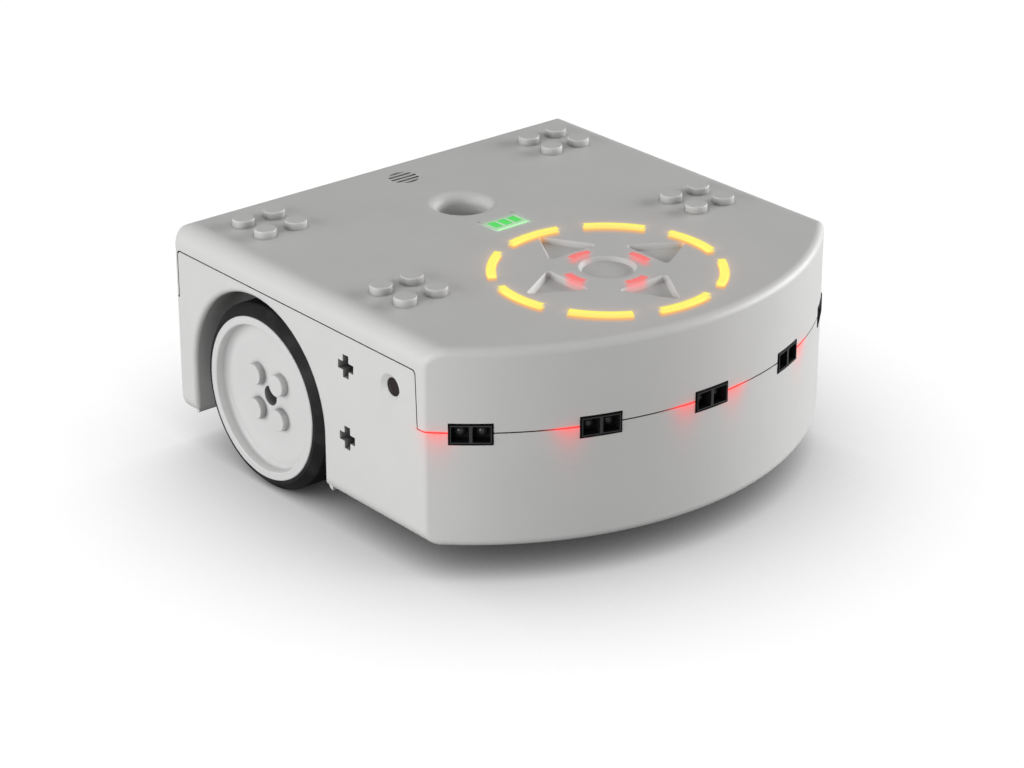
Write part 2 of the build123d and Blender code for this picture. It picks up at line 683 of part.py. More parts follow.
with BuildPart() as bottom_shell:
    add(body_block(0))
    add(body_block(WALL), mode=Mode.SUBTRACT)
    add(upper_zone(-SEAM_GAP / 2), mode=Mode.SUBTRACT)

    # wheel wells: boxed arches let into both sides
    for side in (1, -1):
        extrude(
            arch_outline(side * (WELL_X - WELL_WALL), ARCH_RADIUS + WELL_WALL),
            amount=side * (HALF_WIDTH - WALL / 2 - WELL_X + WELL_WALL),
        )
    add(LEFT_WELL, mode=Mode.SUBTRACT)
    add(RIGHT_WELL, mode=Mode.SUBTRACT)

    # alignment lips behind the front and rear seam: a root on the wall, then a free tongue
    for start, outward, height in (
        (-LIP_ROOT, LIP_GAP + LIP_BITE, LIP_ROOT - SEAM_GAP),
        (-LIP_OVERLAP, 0.0, LIP_OVERLAP + LIP_HEIGHT),
    ):
        with BuildSketch(Plane.XY.offset(FRONT_SEAM_Z + start)):
            with Locations((0, FRONT_ARC_Y)):
                Circle(lip_radius + outward)
                Circle(lip_radius - LIP_THICKNESS, mode=Mode.SUBTRACT)
            with Locations((0, SEAM_FRONT_TOP_Y - LIP_END_MARGIN)):
                Rectangle(
                    2 * (HALF_WIDTH - LIP_END_MARGIN),
                    FRONT_ARC_RADIUS,
                    align=(Align.CENTER, Align.MAX),
                    mode=Mode.INTERSECT,
                )
        extrude(amount=height)
        with BuildSketch(Plane.XY.offset(REAR_SEAM_Z + start)):
            with Locations(*[(x, y + outward) for x, y in rear_lip_spots]):
                Rectangle(REAR_LIP_WIDTH, LIP_THICKNESS + outward, align=(Align.CENTER, Align.MAX))
        extrude(amount=height)

    # lower half of the pen tube
    with Locations((0, 0, BODY_BOTTOM)):
        Cylinder(PEN_TUBE_RADIUS, PEN_TUBE_SPLIT - BODY_BOTTOM, align=BASE)
        Cylinder(PEN_RADIUS, 2 * BODY_TOP, mode=Mode.SUBTRACT)

    # posts for the cover screws, bored deep from below
    for post_x, post_y, post_radius, base_radius in COVER_POSTS:
        with Locations((post_x, post_y, BODY_BOTTOM + 0.5 * WALL)):
            Cylinder(base_radius, COVER_POST_SPLIT - BODY_BOTTOM - 0.5 * WALL, align=BASE)
        with Locations((post_x, post_y, BODY_BOTTOM)):
            Cylinder(COVER_SCREW_RADIUS + LOOSE_GAP, 2 * BODY_TOP, mode=Mode.SUBTRACT)
        with Locations((post_x, post_y, COVER_SCREW_HEAD_Z)):
            Cylinder(COVER_SCREW_HEAD_RADIUS + LOOSE_GAP, BODY_TOP, align=TOP, mode=Mode.SUBTRACT)

    # posts that carry the main board
    for post_x, post_y in MAIN_BOARD_POSTS:
        with Locations((post_x, post_y, FLOOR - 0.5)):
            Cylinder(2.3, MAIN_BOARD_Z - FLOOR + 0.5, align=BASE)
        with Locations((post_x, post_y, MAIN_BOARD_Z)):
            Cylinder(1.01, 6.0, align=TOP, mode=Mode.SUBTRACT)

    # gearbox posts, pin seats and axle bearing seats on both wells
    for side in (1, -1):
        for post in GEARBOX_POSTS:
            with BuildSketch(Plane.YZ.offset(side * (WELL_X - 0.5))):
                with Locations(post):
                    Circle(GEARBOX_POST_RADIUS)
            extrude(amount=-side * (WELL_X - 0.5 - PLATE_X - PLATE_THICKNESS))
            with BuildSketch(Plane.YZ.offset(side * (PLATE_X + PLATE_THICKNESS))):
                with Locations(post):
                    Circle(GEARBOX_SCREW_RADIUS + PRESS_GAP)
            extrude(amount=side * GEARBOX_SCREW_LENGTH, mode=Mode.SUBTRACT)
        with BuildSketch(Plane.YZ.offset(side * (SLEEVE_END_X + LOOSE_GAP))):
            with Locations(FIRST_POINT, SECOND_POINT):
                Circle(2.4)
        extrude(amount=side * (WELL_X - 0.4 - SLEEVE_END_X - LOOSE_GAP))
        with BuildSketch(Plane.YZ.offset(side * SLEEVE_END_X)):
            with Locations(FIRST_POINT, SECOND_POINT):
                Circle(PIN_RADIUS + PRESS_GAP)
        extrude(amount=side * (PIN_END_X + RUN_GAP - SLEEVE_END_X), mode=Mode.SUBTRACT)
        with BuildSketch(Plane.YZ.offset(side * OUTER_BUSH_X)):
            with Locations(AXLE_POINT):
                Circle(BUSH_RADIUS + 1.4)
        extrude(amount=side * OUTER_BUSH_LENGTH)
        with BuildSketch(Plane.YZ.offset(side * (OUTER_BUSH_X - 1.0))):
            with Locations(AXLE_POINT):
                Circle(BUSH_RADIUS + PRESS_GAP)
        extrude(amount=side * (OUTER_BUSH_LENGTH + 2.0), mode=Mode.SUBTRACT)

    # cross-shaped sockets with their bosses
    for side in (1, -1):
        with BuildSketch(Plane.YZ.offset(side * (HALF_WIDTH - 0.5 * WALL))):
            with Locations((CROSS_Y, CROSS_LOWER_Z), (CROSS_Y, CROSS_UPPER_Z)):
                Rectangle(PITCH, PITCH)
        extrude(amount=-side * (CROSS_DEPTH + 0.5 * WALL))
        for cross_z in (CROSS_LOWER_Z, CROSS_UPPER_Z):
            extrude(
                cross_outline(side * (HALF_WIDTH + 1.0), CROSS_Y, cross_z),
                amount=-side * (CROSS_DEPTH + 1.0),
                mode=Mode.SUBTRACT,
            )

    # countersunk remote-control window on the right side
    with Locations(Location((-HALF_WIDTH + IR_SINK_DEPTH, IR_Y, IR_Z), (0, -90, 0))):
        Cone(IR_HOLE_RADIUS, IR_SINK_RADIUS, IR_SINK_DEPTH, align=BASE, mode=Mode.SUBTRACT)
        Cylinder(IR_HOLE_RADIUS, 4 * WALL, mode=Mode.SUBTRACT)

    # pocket halves for the proximity sensors
    with Locations(*ALL_SENSOR_PLACES):
        Box(
            SENSOR_WIDTH + LOOSE_GAP,
            2 * (SENSOR_DEPTH + RUN_GAP),
            SENSOR_HEIGHT + LOOSE_GAP,
            mode=Mode.SUBTRACT,
        )

    # ground sensor openings
    with Locations((GROUND_SENSOR_X, GROUND_SENSOR_Y, FLOOR), (-GROUND_SENSOR_X, GROUND_SENSOR_Y, FLOOR)):
        Box(GROUND_SENSOR_WIDTH + LOOSE_GAP, GROUND_SENSOR_LENGTH + LOOSE_GAP, 4 * WALL, mode=Mode.SUBTRACT)

    # speaker ring and its grille
    with Locations((0, SPEAKER_Y, FLOOR - 0.5)):
        Cylinder(SPEAKER_RADIUS + 1.2, 2.5, align=BASE)
        Cylinder(SPEAKER_RADIUS + LOOSE_GAP, BODY_TOP, align=BASE, mode=Mode.SUBTRACT)
    with Locations((0, SPEAKER_Y, FLOOR - 0.5)):
        Cylinder(SPEAKER_RADIUS + LOOSE_GAP, 0.5, align=BASE)
    with BuildSketch(Plane.XY.offset(FLOOR)):
        with Locations((0, SPEAKER_Y)):
            with GridLocations(0, 2.2, 1, 5):
                SlotOverall(12.0, 1.1)
            Circle(6.4, mode=Mode.INTERSECT)
    extrude(amount=-2 * WALL, mode=Mode.SUBTRACT)

    # battery cradle ribs
    cradle_x = BATTERY_SIZE[0] / 2 + 0.8
    with Locations((cradle_x, BATTERY_Y, FLOOR - 0.5), (-cradle_x, BATTERY_Y, FLOOR - 0.5)):
        Box(1.2, BATTERY_SIZE[1] - 6.0, 6.5, align=BASE)

    # rear openings: data socket, memory card and reset button
    socket_z = MAIN_BOARD_Z - USB_SIZE[2] / 2 - RUN_GAP
    card_z = MAIN_BOARD_Z - CARD_SOCKET_SIZE[2] / 2 - RUN_GAP
    with Locations((USB_X, REAR_Y, socket_z)):
        Box(USB_SIZE[0] + 0.6, 4 * WALL, USB_SIZE[2] + 0.4, mode=Mode.SUBTRACT)
    with Locations((USB_X, REAR_Y, socket_z)):
        Box(USB_SIZE[0] + 3.0, 2 * 0.7, USB_SIZE[2] + 2.0, mode=Mode.SUBTRACT)
    with Locations((CARD_X, REAR_Y, card_z)):
        Box(CARD_SIZE[0] + 0.6, 4 * WALL, CARD_SIZE[2] + 0.6, mode=Mode.SUBTRACT)
    with Locations(Location((RESET_X, REAR_Y, RESET_Z), (90, 0, 0))):
        Cylinder(RESET_RADIUS + RUN_GAP, 4 * WALL, mode=Mode.SUBTRACT)

    # seat for the front skid's stem
    with Locations((0, SKID_Y, FLOOR)):
        Cylinder(2.01, 4 * WALL, mode=Mode.SUBTRACT)
save(bottom_shell.part, "bottom_shell")


# ================================================================ light guides
with BuildPart() as ring_light_guide:
    with BuildSketch(Plane.XY.offset(GUIDE_FLANGE_BOTTOM)):
        with Locations((0, RING_Y)):
            Circle(RING_OUTER + 1.2)
            Circle(RING_INNER - 1.2, mode=Mode.SUBTRACT)
    extrude(amount=GUIDE_FLANGE_TOP - GUIDE_FLANGE_BOTTOM)
    extrude(
        arc_bars(GUIDE_FLANGE_TOP, RING_INNER, RING_OUTER, RING_HALF_ANGLE, RING_COUNT),
        amount=BODY_TOP - GUIDE_FLANGE_TOP,
    )
save(ring_light_guide.part, "ring_light_guide")

with BuildPart() as direction_light_guide:
    with BuildSketch(Plane.XY.offset(GUIDE_FLANGE_BOTTOM)):
        with Locations((0, RING_Y)):
            Circle(DIRECTION_OUTER + 0.6)
            Circle(DIRECTION_INNER - 0.8, mode=Mode.SUBTRACT)
    extrude(amount=GUIDE_FLANGE_TOP - GUIDE_FLANGE_BOTTOM)
    extrude(
        arc_bars(GUIDE_FLANGE_TOP, DIRECTION_INNER, DIRECTION_OUTER, DIRECTION_HALF_ANGLE, DIRECTION_COUNT),
        amount=BODY_TOP - GUIDE_FLANGE_TOP,
    )
save(direction_light_guide.part, "direction_light_guide")

with BuildPart() as battery_light_guide:
    with Locations((0, GAUGE_Y, GUIDE_FLANGE_BOTTOM)):
        Box(
            GAUGE_BAR_PITCH * GAUGE_BAR_COUNT + 1.6,
            GAUGE_BAR_LENGTH + 1.6,
            GUIDE_FLANGE_TOP - GUIDE_FLANGE_BOTTOM,
            align=BASE,
        )
    with Locations((0, GAUGE_Y, GUIDE_FLANGE_TOP)):
        with GridLocations(GAUGE_BAR_PITCH, 0, GAUGE_BAR_COUNT, 1):
            Box(GAUGE_BAR_WIDTH, GAUGE_BAR_LENGTH, BODY_TOP - GUIDE_FLANGE_TOP, align=BASE)
save(battery_light_guide.part, "battery_light_guide")


# ================================================================ boards and electronics
with BuildPart() as touch_board:
    with BuildSketch(Plane.XY.offset(TOUCH_BOARD_Z)):
        with Locations((0, RING_Y)):
            Circle(TOUCH_BOARD_RADIUS)
        with Locations((0, RING_Y)):
            Rectangle(18.0, GAUGE_REAR_Y - RING_Y + 1.5, align=(Align.CENTER, Align.MIN))
        with Locations(*TOUCH_SCREW_POINTS):
            Circle(1.0, mode=Mode.SUBTRACT)
    extrude(amount=BOARD_THICKNESS)
save(touch_board.part, "touch_board")

with BuildPart() as indicator_leds:
    with Locations((0, RING_Y, TOUCH_BOARD_TOP)):
        with PolarLocations((RING_INNER + RING_OUTER) / 2, RING_COUNT):
            Box(1.6, 3.2, 0.8, align=BASE)
        with PolarLocations((DIRECTION_INNER + DIRECTION_OUTER) / 2, DIRECTION_COUNT):
            Box(1.2, 2.0, 0.8, align=BASE)
    with Locations((0, GAUGE_Y, TOUCH_BOARD_TOP)):
        with GridLocations(GAUGE_BAR_PITCH, 0, GAUGE_BAR_COUNT, 1):
            Box(1.2, 2.0, 0.8, align=BASE)
save(indicator_leds.part, "indicator_leds")

with BuildPart() as touch_pads:
    pad_height = CEILING - RUN_GAP - TOUCH_BOARD_TOP
    with Locations((0, RING_Y, TOUCH_BOARD_TOP)):
        Cylinder(6.2, pad_height, align=BASE)
        with PolarLocations(13.0, DIRECTION_COUNT):
            Box(3.6, 8.0, pad_height, align=BASE)
save(touch_pads.part, "touch_pads")

with BuildPart() as main_board:
    with BuildSketch(Plane.XY.offset(MAIN_BOARD_Z)):
        with Locations((0, FRONT_ARC_Y)):
            Circle(MAIN_BOARD_FRONT_RADIUS)
        with Locations((0, -50.0)):
            Rectangle(90.0, 100.0, align=(Align.CENTER, Align.MAX), mode=Mode.INTERSECT)
        with Locations((0, -38.8)):
            Rectangle(84.0, 12.0, align=(Align.CENTER, Align.MAX))
        with Locations((0, -40.0)):
            Rectangle(49.0, 40.0 + MAIN_BOARD_REAR_Y - 1.0, align=(Align.CENTER, Align.MIN))
        with Locations((0, MAIN_BOARD_REAR_Y)):
            Rectangle(72.0, 11.0, align=(Align.CENTER, Align.MAX))
        Circle(PEN_TUBE_RADIUS + 0.8, mode=Mode.SUBTRACT)
        with Locations((REAR_SENSOR_X, REAR_Y), (-REAR_SENSOR_X, REAR_Y)):
            Rectangle(SENSOR_WIDTH + 0.6, 2 * (SENSOR_DEPTH + 0.3), mode=Mode.SUBTRACT)
        with Locations(*MAIN_BOARD_POSTS):
            Circle(1.2, mode=Mode.SUBTRACT)
    extrude(amount=BOARD_THICKNESS)
save(main_board.part, "main_board")

with BuildPart() as board_components:
    # processor, motion sensor, drivers, plugs and storage coils soldered on the main board
    with Locations((0, -54.0, MAIN_BOARD_TOP)):
        Box(10.0, 10.0, 1.4, align=BASE)
    with Locations((16.0, -52.0, MAIN_BOARD_TOP), (-16.0, -52.0, MAIN_BOARD_TOP)):
        Box(6.2, 5.0, 1.5, align=BASE)
    with Locations((0, -43.0, MAIN_BOARD_TOP)):
        Box(4.0, 4.0, 0.9, align=BASE)
    with Locations((28.0, -56.0, MAIN_BOARD_TOP), (-28.0, -56.0, MAIN_BOARD_TOP)):
        Box(7.0, 5.5, 5.0, align=BASE)
    with Locations(*[(x, -62.5, MAIN_BOARD_TOP) for x in (20.0, -20.0, 9.0)]):
        Cylinder(2.0, 3.5, align=BASE)
save(board_components.part, "board_components")

with BuildPart() as sensor_leds:
    # small red lamps beside the front sensors, which shine out through the seam
    for angle in SENSOR_LED_ANGLES:
        turn = radians(angle)
        lamp_x = SENSOR_LED_PLACE_RADIUS * sin(turn)
        lamp_y = FRONT_ARC_Y - SENSOR_LED_PLACE_RADIUS * cos(turn)
        with Locations(Location((lamp_x, lamp_y, MAIN_BOARD_TOP), (0, 0, angle))):
            Box(*SENSOR_LED_SIZE, align=BASE)
save(sensor_leds.part, "sensor_leds")

with BuildPart() as board_link:
    # stacking connector that carries signals between the two boards
    link_height = TOUCH_BOARD_Z - MAIN_BOARD_TOP
    with Locations((0, -29.0, MAIN_BOARD_TOP)):
        Box(15.6, 5.0, 8.5, align=BASE)
        with GridLocations(2.54, 2.54, 6, 2):
            Box(0.64, 0.64, link_height, align=BASE)
        with Locations((0, 0, link_height)):
            Box(15.6, 5.0, 2.5, align=TOP)
save(board_link.part, "board_link")

with BuildPart() as battery_pack:
    with Locations((0, BATTERY_Y, FLOOR + BATTERY_PAD_HEIGHT)):
        Box(*BATTERY_SIZE, align=BASE)
    fillet(battery_pack.edges().filter_by(Axis.X), 2.4)
    with Locations((0, BATTERY_Y + BATTERY_SIZE[1] / 2, FLOOR + BATTERY_PAD_HEIGHT + BATTERY_SIZE[2] / 2)):
        Box(20.0, 1.6, 3.2, align=(Align.CENTER, Align.MIN, Align.CENTER))
save(battery_pack.part, "battery_pack")

with BuildPart() as battery_pad:
    with Locations((0, BATTERY_Y, FLOOR)):
        Box(BATTERY_SIZE[0] - 8.0, BATTERY_SIZE[1] - 8.0, BATTERY_PAD_HEIGHT, align=BASE)
    with Locations((0, SKID_Y, FLOOR)):
        Cylinder(3.2, 2 * BATTERY_PAD_HEIGHT, mode=Mode.SUBTRACT)
save(battery_pad.part, "battery_pad")

with BuildPart() as speaker:
    with Locations((0, SPEAKER_Y, FLOOR)):
        Cylinder(SPEAKER_RADIUS, 1.4, align=BASE)
        Cylinder(SPEAKER_RADIUS - 1.6, 3.0, align=BASE)
        Cylinder(4.6, SPEAKER_HEIGHT, align=BASE)
        Cone(SPEAKER_RADIUS - 1.4, 2.2, 1.0, align=BASE, mode=Mode.SUBTRACT)
save(speaker.part, "speaker")

with BuildPart() as microphone:
    with Locations((0, MIC_Y, CEILING - 0.3)):
        Cylinder(3.0, 2.6, align=TOP)
        Cylinder(0.6, 0.6, mode=Mode.SUBTRACT)
save(microphone.part, "microphone")

with BuildPart() as usb_socket:
    with Locations((USB_X, REAR_Y - 0.9, socket_z)):
        Box(*USB_SIZE, align=(Align.CENTER, Align.MAX, Align.CENTER))
        Box(USB_SIZE[0] - 0.8, 10.0, USB_SIZE[2] - 0.8, mode=Mode.SUBTRACT)
    with Locations((USB_X, REAR_Y - 2.0, socket_z)):
        Box(USB_SIZE[0] - 3.0, 4.6, 0.7, align=(Align.CENTER, Align.MAX, Align.CENTER))
    with Locations((USB_X, REAR_Y - 0.9 - USB_SIZE[1], socket_z)):
        Box(USB_SIZE[0], 1.6, USB_SIZE[2], align=(Align.CENTER, Align.MIN, Align.CENTER))
save(usb_socket.part, "usb_socket")

with BuildPart() as card_socket:
    with Locations((CARD_X, REAR_Y - WALL - 0.2, card_z)):
        Box(*CARD_SOCKET_SIZE, align=(Align.CENTER, Align.MAX, Align.CENTER))
        Box(
            CARD_SIZE[0] + LOOSE_GAP,
            2 * (CARD_SOCKET_SIZE[1] - 1.0),
            CARD_SIZE[2] + LOOSE_GAP,
            mode=Mode.SUBTRACT,
        )
save(card_socket.part, "card_socket")

with BuildPart() as memory_card:
    with Locations((CARD_X, REAR_Y + CARD_PROUD, card_z)):
        Box(*CARD_SIZE, align=(Align.CENTER, Align.MAX, Align.CENTER))
    fillet(memory_card.edges().filter_by(Axis.Z), 0.6)
save(memory_card.part, "memory_card")

with BuildPart() as reset_button:
    with Locations(Location((RESET_X, REAR_Y - 0.3, RESET_Z), (90, 0, 0))):
        Cylinder(RESET_RADIUS, 4.0, align=BASE)
        with Locations((0, 0, WALL - 0.3 + RUN_GAP)):
            Cylinder(RESET_RADIUS + 0.5, 0.8, align=BASE)
save(reset_button.part, "reset_button")

with BuildPart() as reset_switch:
    with Locations((RESET_X, REAR_Y - 5.1, MAIN_BOARD_Z)):
        Box(4.4, 3.0, 3.2, align=(Align.CENTER, Align.MAX, Align.MAX))
save(reset_switch.part, "reset_switch")

with BuildPart() as infrared_window:
    with Locations(Location((-HALF_WIDTH + IR_SINK_DEPTH + 0.2, IR_Y, IR_Z), (0, 90, 0))):
        Cylinder(IR_HOLE_RADIUS - RUN_GAP, WALL - IR_SINK_DEPTH - 0.2 + RUN_GAP, align=BASE)
        with Locations((0, 0, WALL - IR_SINK_DEPTH - 0.2 + RUN_GAP)):
            Cylinder(IR_HOLE_RADIUS + 0.9, 0.8, align=BASE)
save(infrared_window.part, "infrared_window")

with BuildPart() as infrared_receiver:
    with Locations((-HALF_WIDTH + WALL + 1.0, IR_Y, IR_Z)):
        Box(3.0, 5.0, 5.6, align=(Align.MIN, Align.CENTER, Align.CENTER))
    with Locations((-HALF_WIDTH + WALL + 1.6, IR_Y, IR_Z - 2.6)):
        with GridLocations(0, 1.27, 1, 3):
            Box(0.4, 0.5, 4.0, align=(Align.MIN, Align.CENTER, Align.MAX))
save(infrared_receiver.part, "infrared_receiver")


# ================================================================ proximity and ground sensors
front_names = ("right_corner", "right", "centre", "left", "left_corner")
sensor_names = [f"front_sensor_{name}" for name in front_names] + ["rear_sensor_left", "rear_sensor_right"]
for sensor_name, place in zip(sensor_names, ALL_SENSOR_PLACES):
    save(place * proximity_housing(), sensor_name)

lens_shape = dome_lens(LENS_RADIUS, LENS_BASE)
lens_spots = [
    place * Location((cell * SENSOR_CELL_PITCH / 2, SENSOR_CELL_DEPTH + LENS_BASE, 0), (90, 0, 0))
    for place in ALL_SENSOR_PLACES
    for cell in (-1, 1)
]
with BuildPart() as proximity_lenses:
    with Locations(*lens_spots):
        add(lens_shape)
save(proximity_lenses.part, "proximity_lenses")

with BuildPart() as ground_sensor_left:
    with Locations((GROUND_SENSOR_X, GROUND_SENSOR_Y, BODY_BOTTOM - 0.1)):
        Box(GROUND_SENSOR_WIDTH, GROUND_SENSOR_LENGTH, GROUND_SENSOR_HEIGHT, align=BASE)
        with GridLocations(GROUND_CELL_PITCH, 0, 2, 1):
            Box(GROUND_CELL, GROUND_CELL, 2 * 1.6, mode=Mode.SUBTRACT)
        with GridLocations(GROUND_CELL_PITCH, 0, 2, 1):
            with Locations((0, 0, 1.6)):
                Sphere(GROUND_LENS_RADIUS)
save_pair(ground_sensor_left.part, "ground_sensor")

with BuildPart() as front_skid:
    # low-friction dome that slides on the floor in front of the wheels
    with Locations((0, SKID_Y, SKID_RADIUS)):
        Sphere(SKID_RADIUS)
        Cylinder(2 * SKID_RADIUS, 2 * SKID_RADIUS, align=BASE, mode=Mode.SUBTRACT)
        Cylinder(SKID_RADIUS, BODY_BOTTOM - SKID_RADIUS, align=BASE)
    with Locations((0, SKID_Y, BODY_BOTTOM)):
        Cylinder(SKID_RADIUS + 2.0, 1.0, align=TOP)
        Cylinder(2.0, WALL + 0.4, align=BASE)
save(front_skid.part, "front_skid")


# ================================================================ screws
cover_screw = screw(COVER_SCREW_HEAD_RADIUS, 1.6, COVER_SCREW_RADIUS, COVER_SCREW_LENGTH)
cover_screw_spots = [Location((x, y, COVER_SCREW_HEAD_Z), (180, 0, 0)) for x, y, top, base in COVER_POSTS]
with BuildPart() as cover_screws:
    with Locations(*cover_screw_spots):
        add(cover_screw)
save(cover_screws.part, "cover_screws")

board_screw = screw(1.9, 1.3, 1.0, 6.0)
with BuildPart() as main_board_screws:
    with Locations(*[(x, y, MAIN_BOARD_TOP) for x, y in MAIN_BOARD_POSTS]):
        add(board_screw)
save(main_board_screws.part, "main_board_screws")

touch_screw = screw(1.7, 1.1, 0.9, BOARD_THICKNESS + 2.2)
with BuildPart() as touch_board_screws:
    with Locations(*[Location((x, y, TOUCH_BOARD_Z), (180, 0, 0)) for x, y in TOUCH_SCREW_POINTS]):
        add(touch_screw)
save(touch_board_screws.part, "touch_board_screws")

gearbox_screw = screw(GEARBOX_SCREW_HEAD, 1.0, GEARBOX_SCREW_RADIUS, GEARBOX_SCREW_LENGTH)
gearbox_screw_spots = [
    Location((side * PLATE_X, y, z), (0, -90 * side, 0)) for side in (1, -1) for y, z in GEARBOX_POSTS
]
with BuildPart() as gearbox_screws:
    with Locations(*gearbox_screw_spots):
        add(gearbox_screw)
save(gearbox_screws.part, "gearbox_screws")


# ================================================================ wheels (left, then mirrored)
WEB_FACE_X = WHEEL_FACE_X - RECESS_DEPTH

with BuildPart() as hub:
    # rim, web and boss turned as one section
    with BuildSketch(Plane.XZ) as hub_section:
        with BuildLine():
            Polyline(
                (HUB_BOSS_X, AXLE_Z),
                (HUB_BOSS_X, AXLE_Z + HUB_BOSS_RADIUS),
                (WEB_FACE_X - WALL, AXLE_Z + HUB_BOSS_RADIUS),
                (WEB_FACE_X - WALL, AXLE_Z + TYRE_SEAT_RADIUS - RIM_BACK_INSET),
                (TYRE_INNER_X - RIM_FLANGE, AXLE_Z + TYRE_SEAT_RADIUS - RIM_BACK_INSET),
                (TYRE_INNER_X - RIM_FLANGE, AXLE_Z + RIM_RADIUS),
                (TYRE_INNER_X, AXLE_Z + RIM_RADIUS),
                (TYRE_INNER_X, AXLE_Z + TYRE_SEAT_RADIUS),
                (TYRE_OUTER_X, AXLE_Z + TYRE_SEAT_RADIUS),
                (TYRE_OUTER_X, AXLE_Z + RIM_RADIUS),
                (WHEEL_FACE_X, AXLE_Z + RIM_RADIUS),
                (WHEEL_FACE_X, AXLE_Z + RIM_LIP_INNER),
                (WEB_FACE_X, AXLE_Z + RIM_LIP_INNER - RECESS_DRAFT),
                (WEB_FACE_X, AXLE_Z),
                close=True,
            )
        make_face()
        fillet(hub_section.vertices().group_by(Axis.X)[-1], RIM_EDGE_RADIUS)
        recess_corner = (WEB_FACE_X, AXLE_Z + RIM_LIP_INNER - RECESS_DRAFT)
        fillet(hub_section.vertices().sort_by_distance(recess_corner)[0], RECESS_CORNER_RADIUS)
    revolve(axis=AXLE_AXIS)

    # four studs on the wheel face
    with BuildSketch(Plane.YZ.offset(WEB_FACE_X)):
        with Locations(AXLE_POINT):
            with GridLocations(PITCH, PITCH, 2, 2):
                Circle(STUD_RADIUS)
    extrude(amount=STUD_HEIGHT)
    stud_rims = hub.edges().filter_by(GeomType.CIRCLE).filter_by(
        lambda e: abs(e.radius - STUD_RADIUS) < 0.01 and e.center().X > WEB_FACE_X + 0.5 * STUD_HEIGHT
    )
    fillet(stud_rims, 0.25)

    # stiffening ribs behind the web
    rib_length = TYRE_SEAT_RADIUS - RIM_BACK_INSET - HUB_BOSS_RADIUS + 0.6
    with BuildSketch(Plane.YZ.offset(TYRE_INNER_X + 1.0)):
        with Locations(AXLE_POINT):
            with PolarLocations(HUB_BOSS_RADIUS - 0.3, HUB_RIB_COUNT):
                Rectangle(rib_length, HUB_RIB_WIDTH, align=(Align.MIN, Align.CENTER))
    extrude(amount=WEB_FACE_X - WALL - TYRE_INNER_X - 0.5)

    # axle bore and the open hole in the wheel face
    with Locations(along_x(HUB_BOSS_X - 1.0, *AXLE_POINT)):
        Cylinder(AXLE_RADIUS + PRESS_GAP, AXLE_OUTER_X - HUB_BOSS_X + 1.2, align=BASE, mode=Mode.SUBTRACT)
    with Locations(along_x(AXLE_OUTER_X + 0.1, *AXLE_POINT)):
        Cylinder(HUB_HOLE_RADIUS, WHEEL_FACE_X - AXLE_OUTER_X, align=BASE, mode=Mode.SUBTRACT)
save(hub.part.rotate(AXLE_AXIS, LEFT_WHEEL_TURN), "wheel_hub_left")
save(mirror(hub.part, about=Plane.YZ), "wheel_hub_right")

with BuildPart() as tyre:
    # rubber tyre with a sloping outer sidewall and rounded shoulders
    seat = TYRE_SEAT_RADIUS + PRESS_GAP
    with BuildSketch(Plane.XZ) as tyre_section:
        with BuildLine():
            Polyline(
                (TYRE_INNER_X + RUN_GAP, AXLE_Z + seat),
                (TYRE_INNER_X + RUN_GAP, AXLE_Z + WHEEL_RADIUS),
                (TYRE_SHOULDER_X, AXLE_Z + WHEEL_RADIUS),
                (TYRE_RING_X, AXLE_Z + TYRE_RING_RADIUS),
                (TYRE_RING_X, AXLE_Z + RIM_RADIUS + PRESS_GAP),
                (TYRE_OUTER_X - RUN_GAP, AXLE_Z + RIM_RADIUS + PRESS_GAP),
                (TYRE_OUTER_X - RUN_GAP, AXLE_Z + seat),
                close=True,
            )
        make_face()
        tread_corners = tyre_section.vertices().group_by(Axis.Y)[-1]
        fillet(tread_corners, 0.8)
    revolve(axis=AXLE_AXIS)
save_pair(tyre.part, "tyre")

with BuildPart() as axle:
    with Locations(along_x(AXLE_INNER_X, *AXLE_POINT)):
        Cylinder(AXLE_RADIUS, AXLE_OUTER_X - AXLE_INNER_X, align=BASE)
    chamfer(axle.edges().filter_by(GeomType.CIRCLE), 0.3)
save_pair(axle.part, "axle")


# ================================================================ gear trains (left, then mirrored)
with BuildPart() as axle_gear:
    add(gear_disc(AXLE_TEETH, AXLE_TO_SECOND, AXLE_POINT, LAYER_C))
    with Locations(along_x(SLEEVE_START_X + 0.1, *AXLE_POINT)):
        Cylinder(3.0 - 0.6, LAYER_A - SLEEVE_START_X, align=BASE)
        Cylinder(AXLE_RADIUS + 0.28, LAYER_C - SLEEVE_START_X, align=BASE)
    with Locations(along_x(SLEEVE_START_X - 1.0, *AXLE_POINT)):
        Cylinder(AXLE_RADIUS + PRESS_GAP, SLEEVE_END_X, align=BASE, mode=Mode.SUBTRACT)
save_pair(axle_gear.part, "axle_gear")

HALF_PINION_STEP = pi / PINION_TEETH


def compound_gear(point, wheel_phase, wheel_x, pinion_phase, pinion_x):
    """A large gear and a small gear moulded together on one sleeve."""
    with BuildPart() as compound:
        add(gear_disc(WHEEL_TEETH, wheel_phase, point, wheel_x))
        add(gear_disc(PINION_TEETH, pinion_phase, point, pinion_x))
        with Locations(along_x(SLEEVE_START_X, *point)):
            Cylinder(SLEEVE_RADIUS, SLEEVE_END_X - SLEEVE_START_X, align=BASE)
            Cylinder(PIN_RADIUS + RUN_GAP, SLEEVE_END_X, align=BASE, mode=Mode.SUBTRACT)
    return compound.part


second_pinion_phase = AXLE_TO_SECOND + pi + HALF_PINION_STEP
first_pinion_phase = SECOND_TO_FIRST + pi + HALF_PINION_STEP
motor_pinion_phase = FIRST_TO_MOTOR + pi + HALF_PINION_STEP
save_pair(compound_gear(SECOND_POINT, SECOND_TO_FIRST, LAYER_B, second_pinion_phase, LAYER_C), "second_gear")
save_pair(compound_gear(FIRST_POINT, FIRST_TO_MOTOR, LAYER_A, first_pinion_phase, LAYER_B), "first_gear")

